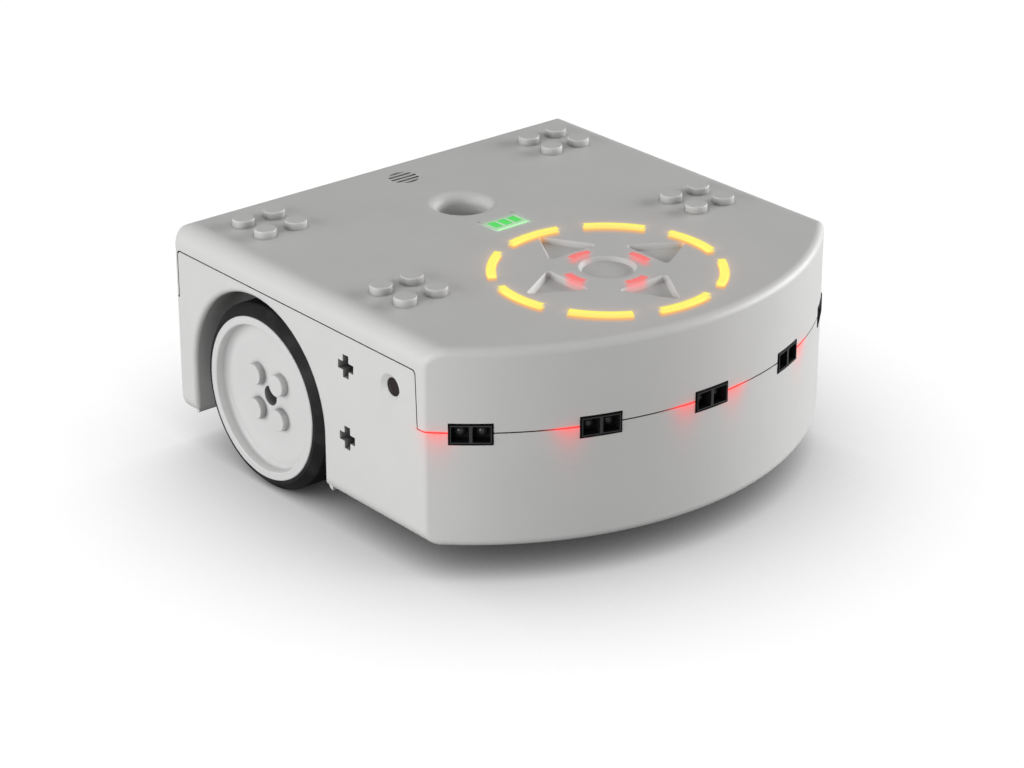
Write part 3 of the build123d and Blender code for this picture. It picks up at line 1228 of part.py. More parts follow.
with BuildPart() as motor_pinion:
    add(gear_disc(PINION_TEETH, motor_pinion_phase, MOTOR_POINT, LAYER_A))
    with Locations(along_x(LAYER_A - 1.0, *MOTOR_POINT)):
        Cylinder(MOTOR_SHAFT_RADIUS + PRESS_GAP, 2 * FACE_WIDTH, align=BASE, mode=Mode.SUBTRACT)
save_pair(motor_pinion.part, "motor_pinion")

with BuildPart() as motor_shaft:
    with Locations(along_x(PLATE_X - MOTOR_LENGTH + 2.0, *MOTOR_POINT)):
        Cylinder(MOTOR_SHAFT_RADIUS, LAYER_A + FACE_WIDTH - PLATE_X + MOTOR_LENGTH - 2.0, align=BASE)
save_pair(motor_shaft.part, "motor_shaft")

with BuildPart() as motor:
    with Locations(along_x(PLATE_X, *MOTOR_POINT)):
        Cylinder(MOTOR_RADIUS, MOTOR_LENGTH, align=TOP)
        Cylinder(MOTOR_NOSE_RADIUS, 1.5, align=BASE)
    chamfer(motor.edges().filter_by(GeomType.CIRCLE).group_by(Axis.X)[0], 0.6)
    with Locations(along_x(PLATE_X - MOTOR_LENGTH, *MOTOR_POINT)):
        Cylinder(2.2, 1.4, align=TOP)
    motor_tabs = [step_from(MOTOR_POINT, 4.2, angle) for angle in (0.0, pi)]
    with BuildSketch(Plane.YZ.offset(PLATE_X - MOTOR_LENGTH)):
        with Locations(*motor_tabs):
            Rectangle(0.5, 1.6)
    extrude(amount=-2.4)
    with Locations(along_x(PLATE_X - MOTOR_LENGTH + 1.5, *MOTOR_POINT)):
        Cylinder(MOTOR_SHAFT_RADIUS + RUN_GAP, MOTOR_LENGTH + 2.0, align=BASE, mode=Mode.SUBTRACT)
save_pair(motor.part, "motor")

with BuildPart() as gearbox_plate:
    # side plate that closes the gear train and holds the motor in a cup
    with BuildSketch(Plane.YZ.offset(PLATE_X)) as plate_outline:
        with Locations(*GEARBOX_POSTS):
            Circle(GEARBOX_POST_RADIUS + 0.2)
        with Locations(FIRST_POINT):
            Circle(4.0)
        with Locations(MOTOR_POINT):
            Circle(MOTOR_RADIUS + CUP_WALL)
        with Locations(AXLE_POINT):
            Circle(5.0)
        make_hull()
    extrude(amount=PLATE_THICKNESS)
    with Locations(along_x(PLATE_X + 0.5, *MOTOR_POINT)):
        Cylinder(MOTOR_RADIUS + CUP_WALL, CUP_LENGTH + 0.5, align=TOP)
    with Locations(along_x(PLATE_X, *MOTOR_POINT)):
        Cylinder(MOTOR_RADIUS + PRESS_GAP, CUP_LENGTH + 1.0, align=TOP, mode=Mode.SUBTRACT)
        Cylinder(MOTOR_NOSE_RADIUS + RUN_GAP, PLATE_THICKNESS, align=BASE, mode=Mode.SUBTRACT)
    with BuildSketch(Plane.YZ.offset(PLATE_X)):
        with Locations(AXLE_POINT):
            Circle(BUSH_RADIUS + PRESS_GAP)
        with Locations(FIRST_POINT, SECOND_POINT):
            Circle(PIN_RADIUS + PRESS_GAP)
        with Locations(*GEARBOX_POSTS):
            Circle(GEARBOX_SCREW_RADIUS + LOOSE_GAP)
    extrude(amount=PLATE_THICKNESS, mode=Mode.SUBTRACT)
save_pair(gearbox_plate.part, "gearbox_plate")

with BuildPart() as gear_pins:
    for side in (1, -1):
        with BuildSketch(Plane.YZ.offset(side * PLATE_X)):
            with Locations(FIRST_POINT, SECOND_POINT):
                Circle(PIN_RADIUS)
        extrude(amount=side * (PIN_END_X - PLATE_X))
save(gear_pins.part, "gear_pins")

with BuildPart() as axle_bushes:
    for side in (1, -1):
        for bush_x, bush_length in ((OUTER_BUSH_X, OUTER_BUSH_LENGTH), (INNER_BUSH_X, INNER_BUSH_LENGTH)):
            with BuildSketch(Plane.YZ.offset(side * bush_x)):
                with Locations(AXLE_POINT):
                    Circle(BUSH_RADIUS)
                    Circle(AXLE_RADIUS + RUN_GAP, mode=Mode.SUBTRACT)
            extrude(amount=side * bush_length)
save(axle_bushes.part, "axle_bushes")
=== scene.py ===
"""Looks for the small two-wheeled coding robot: materials, lights under the shell, floor and camera.

Lengths are metres in the part's own frame; MM turns a length in millimetres into metres.
"""
from math import cos, pi, radians, sin

import bmesh
import bpy
from mathutils import Matrix, Vector


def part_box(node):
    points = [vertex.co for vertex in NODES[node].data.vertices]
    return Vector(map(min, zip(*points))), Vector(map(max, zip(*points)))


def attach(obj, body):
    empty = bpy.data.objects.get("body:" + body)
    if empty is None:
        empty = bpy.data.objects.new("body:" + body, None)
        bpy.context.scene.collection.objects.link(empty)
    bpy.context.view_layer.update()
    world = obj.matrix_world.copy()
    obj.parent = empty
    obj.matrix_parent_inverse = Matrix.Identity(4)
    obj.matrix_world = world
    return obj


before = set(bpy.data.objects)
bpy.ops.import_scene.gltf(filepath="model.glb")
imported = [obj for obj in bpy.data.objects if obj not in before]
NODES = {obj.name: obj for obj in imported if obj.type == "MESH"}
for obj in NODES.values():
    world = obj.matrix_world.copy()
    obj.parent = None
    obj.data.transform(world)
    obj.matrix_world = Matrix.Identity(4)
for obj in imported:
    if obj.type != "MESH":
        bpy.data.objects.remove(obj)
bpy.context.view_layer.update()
MM = 0.001


def middle(node):
    """Centre of a CAD node's box."""
    low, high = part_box(node)
    return (low + high) / 2


# ---------------------------------------------------------------- measures read from the frame
TOP_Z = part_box("ring_light_guide")[1].z
RING_Y = middle("ring_light_guide").y
GAUGE_Y = middle("battery_light_guide").y
SENSOR_Z = middle("front_sensor_centre").z
SEAM_Z = SENSOR_Z + 0.25 * MM
FRONT_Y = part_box("top_cover")[0].y
AXLE_Z = middle("axle_left").z

# ---------------------------------------------------------------- light marks in the top cover
RING_INNER = 23.4 * MM
RING_OUTER = 25.0 * MM
RING_HALF_ANGLE = radians(15.5)
RING_COUNT = 8
MARK_INNER = 8.2 * MM
MARK_OUTER = 9.9 * MM
MARK_HALF_ANGLE = radians(16.5)
MARK_COUNT = 4
GAUGE_HALF_X = 4.0 * MM
GAUGE_HALF_Y = 1.5 * MM
GAUGE_LINE_DROP = 2.8 * MM
GAUGE_LINE_HALF = 0.35 * MM
# box round the gauge; its sunken outline grooves get a painted white highlight
GAUGE_HIGHLIGHT_HALF_X = 5.4 * MM
GAUGE_HIGHLIGHT_HALF_Y = 3.7 * MM
SKIRT = 2.4 * MM

# layers of scattered light: depth under the skin, strength, softness of the edge
LIGHT_LAYERS = (
    (0.55 * MM, 0.40, 0.15 * MM),
    (0.80 * MM, 0.34, 0.20 * MM),
    (1.05 * MM, 0.30, 0.30 * MM),
    (1.30 * MM, 0.26, 0.40 * MM),
    (1.60 * MM, 0.18, 0.50 * MM),
)
YELLOW_DEPTH = 0.6 * MM
BAR_BLEED = 0.2 * MM
MARK_STRENGTH = 0.62
NEAR_HALO = 0.6 * MM
NEAR_HALO_STRENGTH = 0.22
WIDE_HALO = 4.5 * MM
WIDE_HALO_STRENGTH = 0.035
MARK_HALO = 0.5 * MM
MARK_HALO_STRENGTH = 0.16
GAUGE_HALO = 0.6 * MM
GAUGE_HALO_STRENGTH = 0.4
GAUGE_LINE_HALO = 0.3 * MM
GAUGE_LINE_STRENGTH = 0.6
# strength of the painted white highlight in the gauge's outline grooves
GAUGE_RIM_HIGHLIGHT = 0.38

# ---------------------------------------------------------------- front seam and its lamps
FRONT_RADIUS = 75.5 * MM
FRONT_CENTRE_Y = FRONT_Y + FRONT_RADIUS
SEAM_HALF = 0.16 * MM
LAMP_ANGLES = (-45.0, -24.9, -4.9, 4.9, 24.9, 45.0)
LAMP_SPREAD = 3.4 * MM
FRONT_STARTS = (38 * MM, 44 * MM)
SEAM_SOFTNESS = 0.1 * MM
LINE_REACH = 0.12 * MM
LINE_STRENGTH = 0.8
LOW_BLUSH = 2.5 * MM
HIGH_BLUSH = 1.0 * MM
HIGH_BLUSH_SHARE = 0.35
BLUSH_STRENGTH = 0.85
BLUSH_COVER = 0.5

# ---------------------------------------------------------------- colours (linear)
SHELL_COLOUR = (0.80, 0.80, 0.79)
WHEEL_COLOUR = (0.80, 0.80, 0.795)
DARK = (0.02, 0.02, 0.02)
YELLOW = (1.0, 0.93, 0.17)
ORANGE = (1.0, 0.42, 0.09)
SOFT_RED = (1.0, 0.21, 0.20)
BRIGHT_RED = (1.0, 0.045, 0.04)
GREEN = (0.10, 0.72, 0.13)
WHITE = (1.0, 1.0, 1.0)

# ---------------------------------------------------------------- shading of crevices
NOOK_REACH = 5 * MM
NOOK_OPEN = 0.88
NOOK_CLOSED = 0.1
NOOK_SHADE = 0.93


# ================================================================ node graph helper
class Graph:
    """One node tree with short calls for the nodes that these materials use."""

    def __init__(self, tree):
        self.tree = tree
        self.tree.nodes.clear()

    def node(self, kind, **settings):
        """Add a node of a kind and set its properties."""
        made = self.tree.nodes.new(kind)
        for key, value in settings.items():
            setattr(made, key, value)
        return made

    def feed(self, socket, value):
        """Link a socket's value, or set it as a plain number or colour."""
        if isinstance(value, bpy.types.NodeSocket):
            self.tree.links.new(value, socket)
        elif hasattr(socket.default_value, "__len__") and len(socket.default_value) == 4:
            socket.default_value = tuple(value)[:3] + (1.0,)
        else:
            socket.default_value = value

    def math(self, operation, first, second=0.0, clamp=False):
        """One scalar operation."""
        made = self.node("ShaderNodeMath", operation=operation, use_clamp=clamp)
        self.feed(made.inputs[0], first)
        self.feed(made.inputs[1], second)
        return made.outputs[0]

    def times(self, first, second):
        """A product."""
        return self.math("MULTIPLY", first, second)

    def less(self, first, second):
        """A difference."""
        return self.math("SUBTRACT", first, second)

    def larger(self, first, second):
        """The larger of two numbers."""
        return self.math("MAXIMUM", first, second)

    def vector(self, operation, first, second=(0.0, 0.0, 0.0)):
        """One vector operation that gives a vector."""
        made = self.node("ShaderNodeVectorMath", operation=operation)
        self.feed(made.inputs[0], first)
        self.feed(made.inputs[1], second)
        return made.outputs[0]

    def length(self, vector):
        """Length of a vector."""
        made = self.node("ShaderNodeVectorMath", operation="LENGTH")
        self.feed(made.inputs[0], vector)
        return made.outputs["Value"]

    def split(self, vector):
        """The x, y and z of a vector."""
        made = self.node("ShaderNodeSeparateXYZ")
        self.feed(made.inputs[0], vector)
        return made.outputs

    def join(self, x, y, z=0.0):
        """A vector from three numbers."""
        made = self.node("ShaderNodeCombineXYZ")
        for socket, value in zip(made.inputs, (x, y, z)):
            self.feed(socket, value)
        return made.outputs[0]

    def place(self):
        """The surface point in the part's frame, in metres."""
        return self.node("ShaderNodeTexCoord").outputs["Object"]

    def noise(self, point, size, detail=2.0, roughness=0.5):
        """Noise from 0 to 1 with features of about a size in metres."""
        made = self.node("ShaderNodeTexNoise")
        self.feed(made.inputs["Vector"], point)
        self.feed(made.inputs["Scale"], 1.0 / size)
        self.feed(made.inputs["Detail"], detail)
        self.feed(made.inputs["Roughness"], roughness)
        return made.outputs["Fac"]

    def cells(self, point, size, **settings):
        """Distance output of a cell pattern with cells of about a size in metres."""
        made = self.node("ShaderNodeTexVoronoi", **settings)
        self.feed(made.inputs["Vector"], point)
        self.feed(made.inputs["Scale"], 1.0 / size)
        return made.outputs["Distance"]

    def fade(self, value, start, end, low=0.0, high=1.0, shape="SMOOTHSTEP"):
        """A value mapped from start..end to low..high."""
        made = self.node("ShaderNodeMapRange", interpolation_type=shape)
        for key, number in (("Value", value), ("From Min", start), ("From Max", end),
                            ("To Min", low), ("To Max", high)):
            self.feed(made.inputs[key], number)
        return made.outputs[0]

    def blend(self, factor, first, second):
        """Two colours mixed by a factor."""
        made = self.node("ShaderNodeMix", data_type="RGBA", clamp_factor=True)
        self.feed(made.inputs["Factor"], factor)
        self.feed(made.inputs[6], first)
        self.feed(made.inputs[7], second)
        return made.outputs[2]

    def bump(self, height, distance, normal=None):
        """A normal from a height of 0 to 1 times a distance in metres."""
        made = self.node("ShaderNodeBump")
        self.feed(made.inputs["Height"], height)
        self.feed(made.inputs["Distance"], distance)
        self.feed(made.inputs["Strength"], 1.0)
        if normal is not None:
            self.feed(made.inputs["Normal"], normal)
        return made.outputs[0]


class Surface(Graph):
    """A material with one Principled shader."""

    def __init__(self, name):
        self.material = bpy.data.materials.new(name)
        self.material.use_nodes = True
        super().__init__(self.material.node_tree)
        self.output = self.node("ShaderNodeOutputMaterial")
        self.shader = self.node("ShaderNodeBsdfPrincipled")
        self.tree.links.new(self.shader.outputs[0], self.output.inputs["Surface"])

    def set(self, **values):
        """Feed the shader's inputs; an underscore in a key stands for a space."""
        for key, value in values.items():
            self.feed(self.shader.inputs[key.replace("_", " ")], value)


def near_colour(base, change):
    """A colour made lighter or darker by a share."""
    return tuple(min(1.0, part * (1.0 + change)) for part in base)


# ================================================================ light shapes as node groups
def arc_group():
    """Signed distance to a ring of equal arcs round the origin, negative inside them."""
    group = bpy.data.node_groups.new("arc_distance", "ShaderNodeTree")
    group.interface.new_socket("Point", in_out="INPUT", socket_type="NodeSocketVector")
    for name in ("Inner", "Outer", "Half Angle", "Step"):
        group.interface.new_socket(name, in_out="INPUT", socket_type="NodeSocketFloat")
    group.interface.new_socket("Distance", in_out="OUTPUT", socket_type="NodeSocketFloat")
    graph = Graph(group)
    given = graph.node("NodeGroupInput").outputs
    result = graph.node("NodeGroupOutput")
    x, y, _ = graph.split(given["Point"])
    radius = graph.length(graph.join(x, y))
    angle = graph.math("ARCTAN2", y, x)
    folded = graph.math("PINGPONG", angle, graph.times(given["Step"], 0.5))
    beyond = graph.times(graph.less(folded, given["Half Angle"]), radius)
    across = graph.larger(graph.less(radius, given["Outer"]), graph.less(given["Inner"], radius))
    outside = graph.length(graph.join(graph.larger(beyond, 0.0), graph.larger(across, 0.0)))
    inside = graph.math("MINIMUM", graph.larger(beyond, across), 0.0)
    graph.feed(result.inputs["Distance"], graph.math("ADD", outside, inside))
    return group


ARC_GROUP = arc_group()


def arc_distance(graph, point, inner, outer, half_angle, count):
    """Distance from a point to a ring of arcs, by the shared group."""
    made = graph.node("ShaderNodeGroup", node_tree=ARC_GROUP)
    for key, value in (("Point", point), ("Inner", inner), ("Outer", outer),
                       ("Half Angle", half_angle), ("Step", 2 * pi / count)):
        graph.feed(made.inputs[key], value)
    return made.outputs[0]


LOWEST_VIEW = 0.2


def seen_below(graph, point, depth):
    """The spot straight behind a surface point at a depth under the top face, along the line of sight."""
    view = graph.node("ShaderNodeNewGeometry").outputs["Incoming"]
    x, y, z = graph.split(view)
    reach = graph.math("DIVIDE", depth, graph.larger(z, LOWEST_VIEW))
    shift = graph.join(graph.times(x, reach), graph.times(y, reach))
    return graph.vector("SUBTRACT", point, shift)


def add_light(graph, total, mask, colour, strength):
    """Add a mask's coloured light to a running colour."""
    scaled = graph.times(mask, strength)
    made = graph.node("ShaderNodeVectorMath", operation="SCALE")
    graph.feed(made.inputs[0], colour)
    graph.feed(made.inputs["Scale"], scaled)
    return graph.vector("ADD", total, made.outputs[0])


# ================================================================ materials
def fine_plastic(surface, base, grain=0.22 * MM, relief=0.010 * MM, rough=(0.40, 0.52)):
    """Spark-eroded moulded plastic: fine grain, faint flow marks, uneven sheen and shaded crevices."""
    point = surface.place()
    fine = surface.noise(point, grain, 3.0, 0.6)
    broad = surface.noise(point, 14 * MM, 2.0)
    tone = surface.math("ADD", surface.times(fine, 0.55), surface.times(broad, 0.45))
    tone = surface.fade(tone, 0.3, 0.7)
    colour = surface.blend(tone, near_colour(base, -0.022), near_colour(base, 0.018))
    nook = surface.node("ShaderNodeAmbientOcclusion", samples=8)
    nook.inputs["Distance"].default_value = NOOK_REACH
    shade = surface.fade(nook.outputs["AO"], NOOK_CLOSED, NOOK_OPEN, NOOK_SHADE, 0.0)
    surface.colour = surface.blend(shade, colour, DARK)
    surface.set(
        Base_Color=surface.colour,
        Roughness=surface.fade(surface.noise(point, 1.3 * MM, 3.0), 0.25, 0.75, *rough),
        Normal=surface.bump(fine, relief, surface.bump(broad, 0.03 * MM)),
        IOR=1.46,
    )
    return point


def falloff(surface, distance, reach):
    """Light that fades with distance from a lit edge; a negative distance is lit fully."""
    return surface.math("EXPONENT", surface.times(surface.larger(distance, 0.0), -1.0 / reach))


def gauge_distance(surface, point, drop, half_x, half_y):
    """Distance in plan outside an upright box on the centre line, a drop ahead of the gauge's middle."""
    x, y, _ = surface.split(point)
    across = surface.less(surface.math("ABSOLUTE", x), half_x)
    along = surface.less(surface.math("ABSOLUTE", surface.less(y, GAUGE_Y - drop)), half_y)
    return surface.larger(across, along)


def seam_glow(surface, point, light):
    """Red lamp light at the front seam: a bright line in the gap and a soft blush round it."""
    x, y, z = surface.split(point)
    forward = surface.less(FRONT_CENTRE_Y, y)
    along = surface.times(surface.math("ARCTAN2", x, forward), FRONT_RADIUS)
    near = 0.0
    for angle in LAMP_ANGLES:
        lamp = radians(angle) * FRONT_RADIUS
        offset = surface.math("DIVIDE", surface.less(along, lamp), LAMP_SPREAD)
        fall = surface.times(surface.times(offset, offset), -1.0)
        near = surface.math("ADD", near, surface.math("EXPONENT", fall))
    near = surface.times(surface.math("MINIMUM", near, 1.0), surface.fade(forward, *FRONT_STARTS))
    below = surface.less(SEAM_Z - SEAM_HALF, z)
    above = surface.less(z, SEAM_Z + SEAM_HALF)
    line = surface.times(falloff(surface, surface.larger(below, above), LINE_REACH), near)
    under = surface.fade(above, 0.0, SEAM_SOFTNESS, 1.0, 0.0)
    over = surface.fade(below, 0.0, SEAM_SOFTNESS, HIGH_BLUSH_SHARE, 0.0)
    low = surface.times(falloff(surface, below, LOW_BLUSH), under)
    high = surface.times(falloff(surface, above, HIGH_BLUSH), over)
    blush = surface.times(surface.larger(low, high), near)
    light = add_light(surface, light, line, BRIGHT_RED, LINE_STRENGTH)
    light = add_light(surface, light, blush, BRIGHT_RED, BLUSH_STRENGTH)
    return light, surface.larger(line, surface.times(blush, BLUSH_COVER))


def shine(surface, light, lit):
    """Finish a shell whose paint gives way to its own light where it is lit."""
    surface.set(
        Base_Color=surface.blend(lit, surface.colour, DARK),
        Emission_Color=light,
        Emission_Strength=1.0,
    )


def top_cover_material():
    """White shell with the yellow ring, red marks and green gauge shining through it, and a painted white
    highlight in the gauge's outline grooves.
    """
    surface = Surface("top_cover_plastic")
    point = fine_plastic(surface, SHELL_COLOUR)
    centre = surface.vector("SUBTRACT", point, (0.0, RING_Y, 0.0))
    height = surface.split(point)[2]
    on_top = surface.fade(height, TOP_Z - SKIRT, TOP_Z - 0.1 * MM)
    light = surface.join(0.0, 0.0, 0.0)
    lit = 0.0
    ring = (RING_INNER, RING_OUTER, RING_HALF_ANGLE, RING_COUNT)
    marks = (MARK_INNER, MARK_OUTER, MARK_HALF_ANGLE, MARK_COUNT)

    for depth, strength, softness in LIGHT_LAYERS:
        spot = seen_below(surface, centre, depth)
        away = surface.less(arc_distance(surface, spot, *ring), BAR_BLEED)
        glow = surface.times(surface.fade(away, softness, -softness), on_top)
        hue = min(1.0, max(0.0, depth / YELLOW_DEPTH - 1.0))
        colour = tuple(a + (b - a) * hue for a, b in zip(YELLOW, ORANGE))
        light = add_light(surface, light, glow, colour, strength)
        lit = surface.math("ADD", lit, surface.times(glow, strength))
        away = arc_distance(surface, spot, *marks)
        glow = surface.times(surface.fade(away, 2 * softness, -2 * softness), on_top)
        light = add_light(surface, light, glow, SOFT_RED, MARK_STRENGTH * strength)
        lit = surface.math("ADD", lit, surface.times(glow, MARK_STRENGTH * strength))

    away = arc_distance(surface, centre, *ring)
    light = add_light(surface, light, falloff(surface, away, NEAR_HALO), ORANGE, NEAR_HALO_STRENGTH)
    light = add_light(surface, light, falloff(surface, away, WIDE_HALO), ORANGE, WIDE_HALO_STRENGTH)
    away = arc_distance(surface, centre, *marks)
    light = add_light(surface, light, falloff(surface, away, MARK_HALO), SOFT_RED, MARK_HALO_STRENGTH)

    bars = gauge_distance(surface, point, 0.0, GAUGE_HALF_X, GAUGE_HALF_Y)
    glow = surface.times(falloff(surface, bars, GAUGE_HALO), on_top)
    light = add_light(surface, light, glow, GREEN, GAUGE_HALO_STRENGTH)
    front_line = gauge_distance(surface, point, GAUGE_LINE_DROP, GAUGE_HALF_X, GAUGE_LINE_HALF)
    glow = surface.times(falloff(surface, front_line, GAUGE_LINE_HALO), on_top)
    light = add_light(surface, light, glow, GREEN, GAUGE_LINE_STRENGTH)
    # Painted highlight: white light added in the sunken outline grooves round the gauge.
    rim_highlight = gauge_distance(surface, point, 0.0, GAUGE_HIGHLIGHT_HALF_X, GAUGE_HIGHLIGHT_HALF_Y)
    sunk = surface.fade(height, TOP_Z - 0.05 * MM, TOP_Z - 0.3 * MM)
    rim_highlight = surface.times(surface.fade(rim_highlight, 0.0, 0.3 * MM, 1.0, 0.0), sunk)
    light = add_light(surface, light, rim_highlight, WHITE, GAUGE_RIM_HIGHLIGHT)

    light, seam = seam_glow(surface, point, light)
    shine(surface, light, surface.larger(lit, seam))
    return surface.material


def bottom_shell_material():
    """White shell with red light leaking past the front seam."""
    surface = Surface("bottom_shell_plastic")
    point = fine_plastic(surface, SHELL_COLOUR)
    shine(surface, *seam_glow(surface, point, surface.join(0.0, 0.0, 0.0)))
    return surface.material


def simple_plastic(name, base, rough, grain=0.3 * MM, relief=0.006 * MM, gloss=0.5):
    """A moulded plastic with its own colour, grain and sheen."""
    surface = Surface(name)
    fine_plastic(surface, base, grain, relief, rough)
    surface.set(Specular_IOR_Level=gloss)
    return surface.material


def tyre_material():
    """Smooth black rubber with faint moulding rings and dust in its pores."""
    surface = Surface("tyre_rubber")
    point = surface.place()
    _, y, z = surface.split(point)
    radius = surface.length(surface.join(y, surface.less(z, AXLE_Z)))
    rings = surface.math("SINE", surface.times(radius, 2 * pi / (0.55 * MM)))
    fine = surface.noise(point, 0.35 * MM, 4.0, 0.65)
    dust = surface.fade(surface.noise(point, 6 * MM, 4.0), 0.45, 0.75)
    surface.set(
        Base_Color=surface.blend(dust, (0.016, 0.016, 0.017), (0.034, 0.033, 0.032)),
        Roughness=surface.fade(fine, 0.3, 0.7, 0.48, 0.66),
        Normal=surface.bump(fine, 0.02 * MM, surface.bump(rings, 0.008 * MM)),
        Specular_IOR_Level=0.25,
    )
    return surface.material


def metal_material(name, base, rough, streak_axis):
    """Turned or drawn metal with fine streaks along one axis."""
    surface = Surface(name)
    point = surface.place()
    stretch = [1.0, 1.0, 1.0]
    stretch[streak_axis] = 0.04
    streaks = surface.noise(surface.vector("MULTIPLY", point, tuple(stretch)), 0.12 * MM, 3.0)
    patches = surface.noise(point, 3 * MM, 3.0)
    surface.set(
        Base_Color=surface.blend(patches, near_colour(base, -0.12), near_colour(base, 0.08)),
        Metallic=1.0,
        Roughness=surface.fade(streaks, 0.2, 0.8, *rough),
        Normal=surface.bump(streaks, 0.006 * MM),
    )
    return surface.material


def lit_material(name, colour, edge, strength):
    """A light guide's clear plastic with its lamp on, its glow mottled between two tints of its colour.
    """
    surface = Surface(name)
    point = surface.place()
    cloud = surface.noise(point, 1.2 * MM, 2.0)
    glow = surface.blend(surface.fade(cloud, 0.3, 0.7), colour, edge)
    surface.set(
        Base_Color=DARK,
        Roughness=surface.fade(cloud, 0.2, 0.8, 0.28, 0.4),
        Emission_Color=glow,
        Emission_Strength=strength,
    )
    return surface.material


def board_material():
    """Circuit board: green lacquer over copper tracks, with tinned pads."""
    surface = Surface("circuit_board")
    point = surface.place()
    edges = surface.cells(point, 2.6 * MM, feature="DISTANCE_TO_EDGE", distance="CHEBYCHEV")
    track = surface.fade(edges, 0.05, 0.09, 1.0, 0.0)
    spots = surface.cells(point, 3.1 * MM)
    pad = surface.fade(spots, 0.10, 0.13, 1.0, 0.0)
    lacquer = surface.blend(track, (0.010, 0.10, 0.035), (0.03, 0.20, 0.07))
    surface.set(
        Base_Color=surface.blend(pad, lacquer, (0.70, 0.68, 0.62)),
        Metallic=surface.times(pad, 0.9),
        Roughness=surface.fade(surface.noise(point, 0.8 * MM), 0.3, 0.7, 0.24, 0.36),
        Normal=surface.bump(track, 0.03 * MM),
        Coat_Weight=0.4,
    )
    return surface.material


def lens_material(name, tint, rough):
    """Dark filter plastic that lets only infrared through."""
    surface = Surface(name)
    point = surface.place()
    haze = surface.noise(point, 0.6 * MM, 3.0)
    surface.set(
        Base_Color=surface.blend(haze, near_colour(tint, -0.3), near_colour(tint, 0.4)),
        Roughness=surface.fade(haze, 0.3, 0.7, rough, rough + 0.06),
        Coat_Weight=0.6,
        Coat_Roughness=0.05,
    )
    return surface.material


def foam_material():
    """Open-cell foam pad."""
    surface = Surface("pad_foam")
    point = surface.place()
    hole = surface.fade(surface.cells(point, 0.35 * MM), 0.1, 0.6)
    # Painted shade: the pits at the cells' middles are coloured darker than the foam's faces.
    surface.set(
        Base_Color=surface.blend(hole, (0.02, 0.02, 0.021), (0.09, 0.09, 0.092)),
        Roughness=0.92,
        Normal=surface.bump(hole, 0.08 * MM),
    )
    return surface.material


def wrap_material():
    """Crinkled foil sleeve round the battery cell."""
    surface = Surface("battery_wrap")
    point = surface.place()
    creases = surface.noise(point, 5 * MM, 5.0, 0.6)
    # Painted shade: the foil is coloured darker where its creases dip.
    surface.set(
        Base_Color=surface.blend(creases, (0.34, 0.36, 0.40), (0.46, 0.48, 0.52)),
        Metallic=0.75,
        Roughness=surface.fade(creases, 0.3, 0.7, 0.3, 0.5),
        Normal=surface.bump(creases, 0.25 * MM),
    )
    return surface.material


def paint(material, *names):
    """Give CAD nodes a material."""
    for name in names:
        mesh = NODES[name].data
        mesh.materials.clear()
        mesh.materials.append(material)


def both(name):
    """A node's left and right names."""
    return [f"{name}_left", f"{name}_right"]


paint(top_cover_material(), "top_cover")
paint(bottom_shell_material(), "bottom_shell")
paint(simple_plastic("wheel_plastic", WHEEL_COLOUR, (0.40, 0.50)), *both("wheel_hub"))
paint(simple_plastic("gear_acetal", (0.72, 0.69, 0.60), (0.30, 0.40)),
      *both("axle_gear"), *both("second_gear"), *both("first_gear"), *both("gearbox_plate"))
paint(simple_plastic("black_housing", (0.004, 0.004, 0.0045), (0.45, 0.6), gloss=0.12),
      "front_sensor_right_corner", "front_sensor_right", "front_sensor_centre", "front_sensor_left",
      "front_sensor_left_corner", "rear_sensor_left", "rear_sensor_right", *both("ground_sensor"))
paint(simple_plastic("black_moulding", (0.02, 0.02, 0.021), (0.42, 0.55)),
      "board_components", "board_link", "speaker", "microphone", "memory_card",
      "reset_button", "reset_switch", "infrared_receiver")
paint(simple_plastic("skid_plastic", (0.74, 0.74, 0.73), (0.18, 0.28)), "front_skid")
paint(tyre_material(), *both("tyre"))
paint(metal_material("steel_drawn", (0.58, 0.58, 0.59), (0.22, 0.38), 0),
      *both("axle"), *both("motor_shaft"), *both("motor"), "gear_pins", "usb_socket", "card_socket")
paint(metal_material("steel_screws", (0.50, 0.50, 0.51), (0.25, 0.4), 2),
      "cover_screws", "main_board_screws", "touch_board_screws", "gearbox_screws")
paint(metal_material("brass_turned", (0.72, 0.53, 0.22), (0.2, 0.35), 0),
      "axle_bushes", *both("motor_pinion"))
paint(lit_material("ring_light", YELLOW, near_colour(YELLOW, -0.04), 1.0), "ring_light_guide")
paint(lit_material("mark_light", SOFT_RED, near_colour(SOFT_RED, 0.05), 0.9), "direction_light_guide")
paint(lit_material("gauge_light", GREEN, near_colour(GREEN, 0.1), 0.9), "battery_light_guide")
paint(lit_material("lamp_package", (0.85, 0.80, 0.62), (0.9, 0.86, 0.7), 0.3), "indicator_leds")
paint(lit_material("red_lamp", BRIGHT_RED, near_colour(BRIGHT_RED, 0.2), 2.0), "sensor_leds")
paint(board_material(), "touch_board", "main_board")
paint(lens_material("sensor_lens", (0.045, 0.045, 0.048), 0.16), "proximity_lenses")
paint(lens_material("remote_window", (0.014, 0.004, 0.004), 0.06), "infrared_window")
paint(foam_material(), "battery_pad", "touch_pads")
paint(wrap_material(), "battery_pack")


# ================================================================ sensor face frames
SENSOR_ANGLES = (-40.0, -20.0, 0.0, 20.0, 40.0)
SENSOR_FACE = 0.1 * MM
FRAME_WIDTH = 8.2 * MM
FRAME_HEIGHT = 3.86 * MM
CELL_WIDTH = 3.60 * MM
CELL_HEIGHT = 3.44 * MM
CELL_PITCH = 4.26 * MM
FRAME_THICKNESS = 0.05 * MM


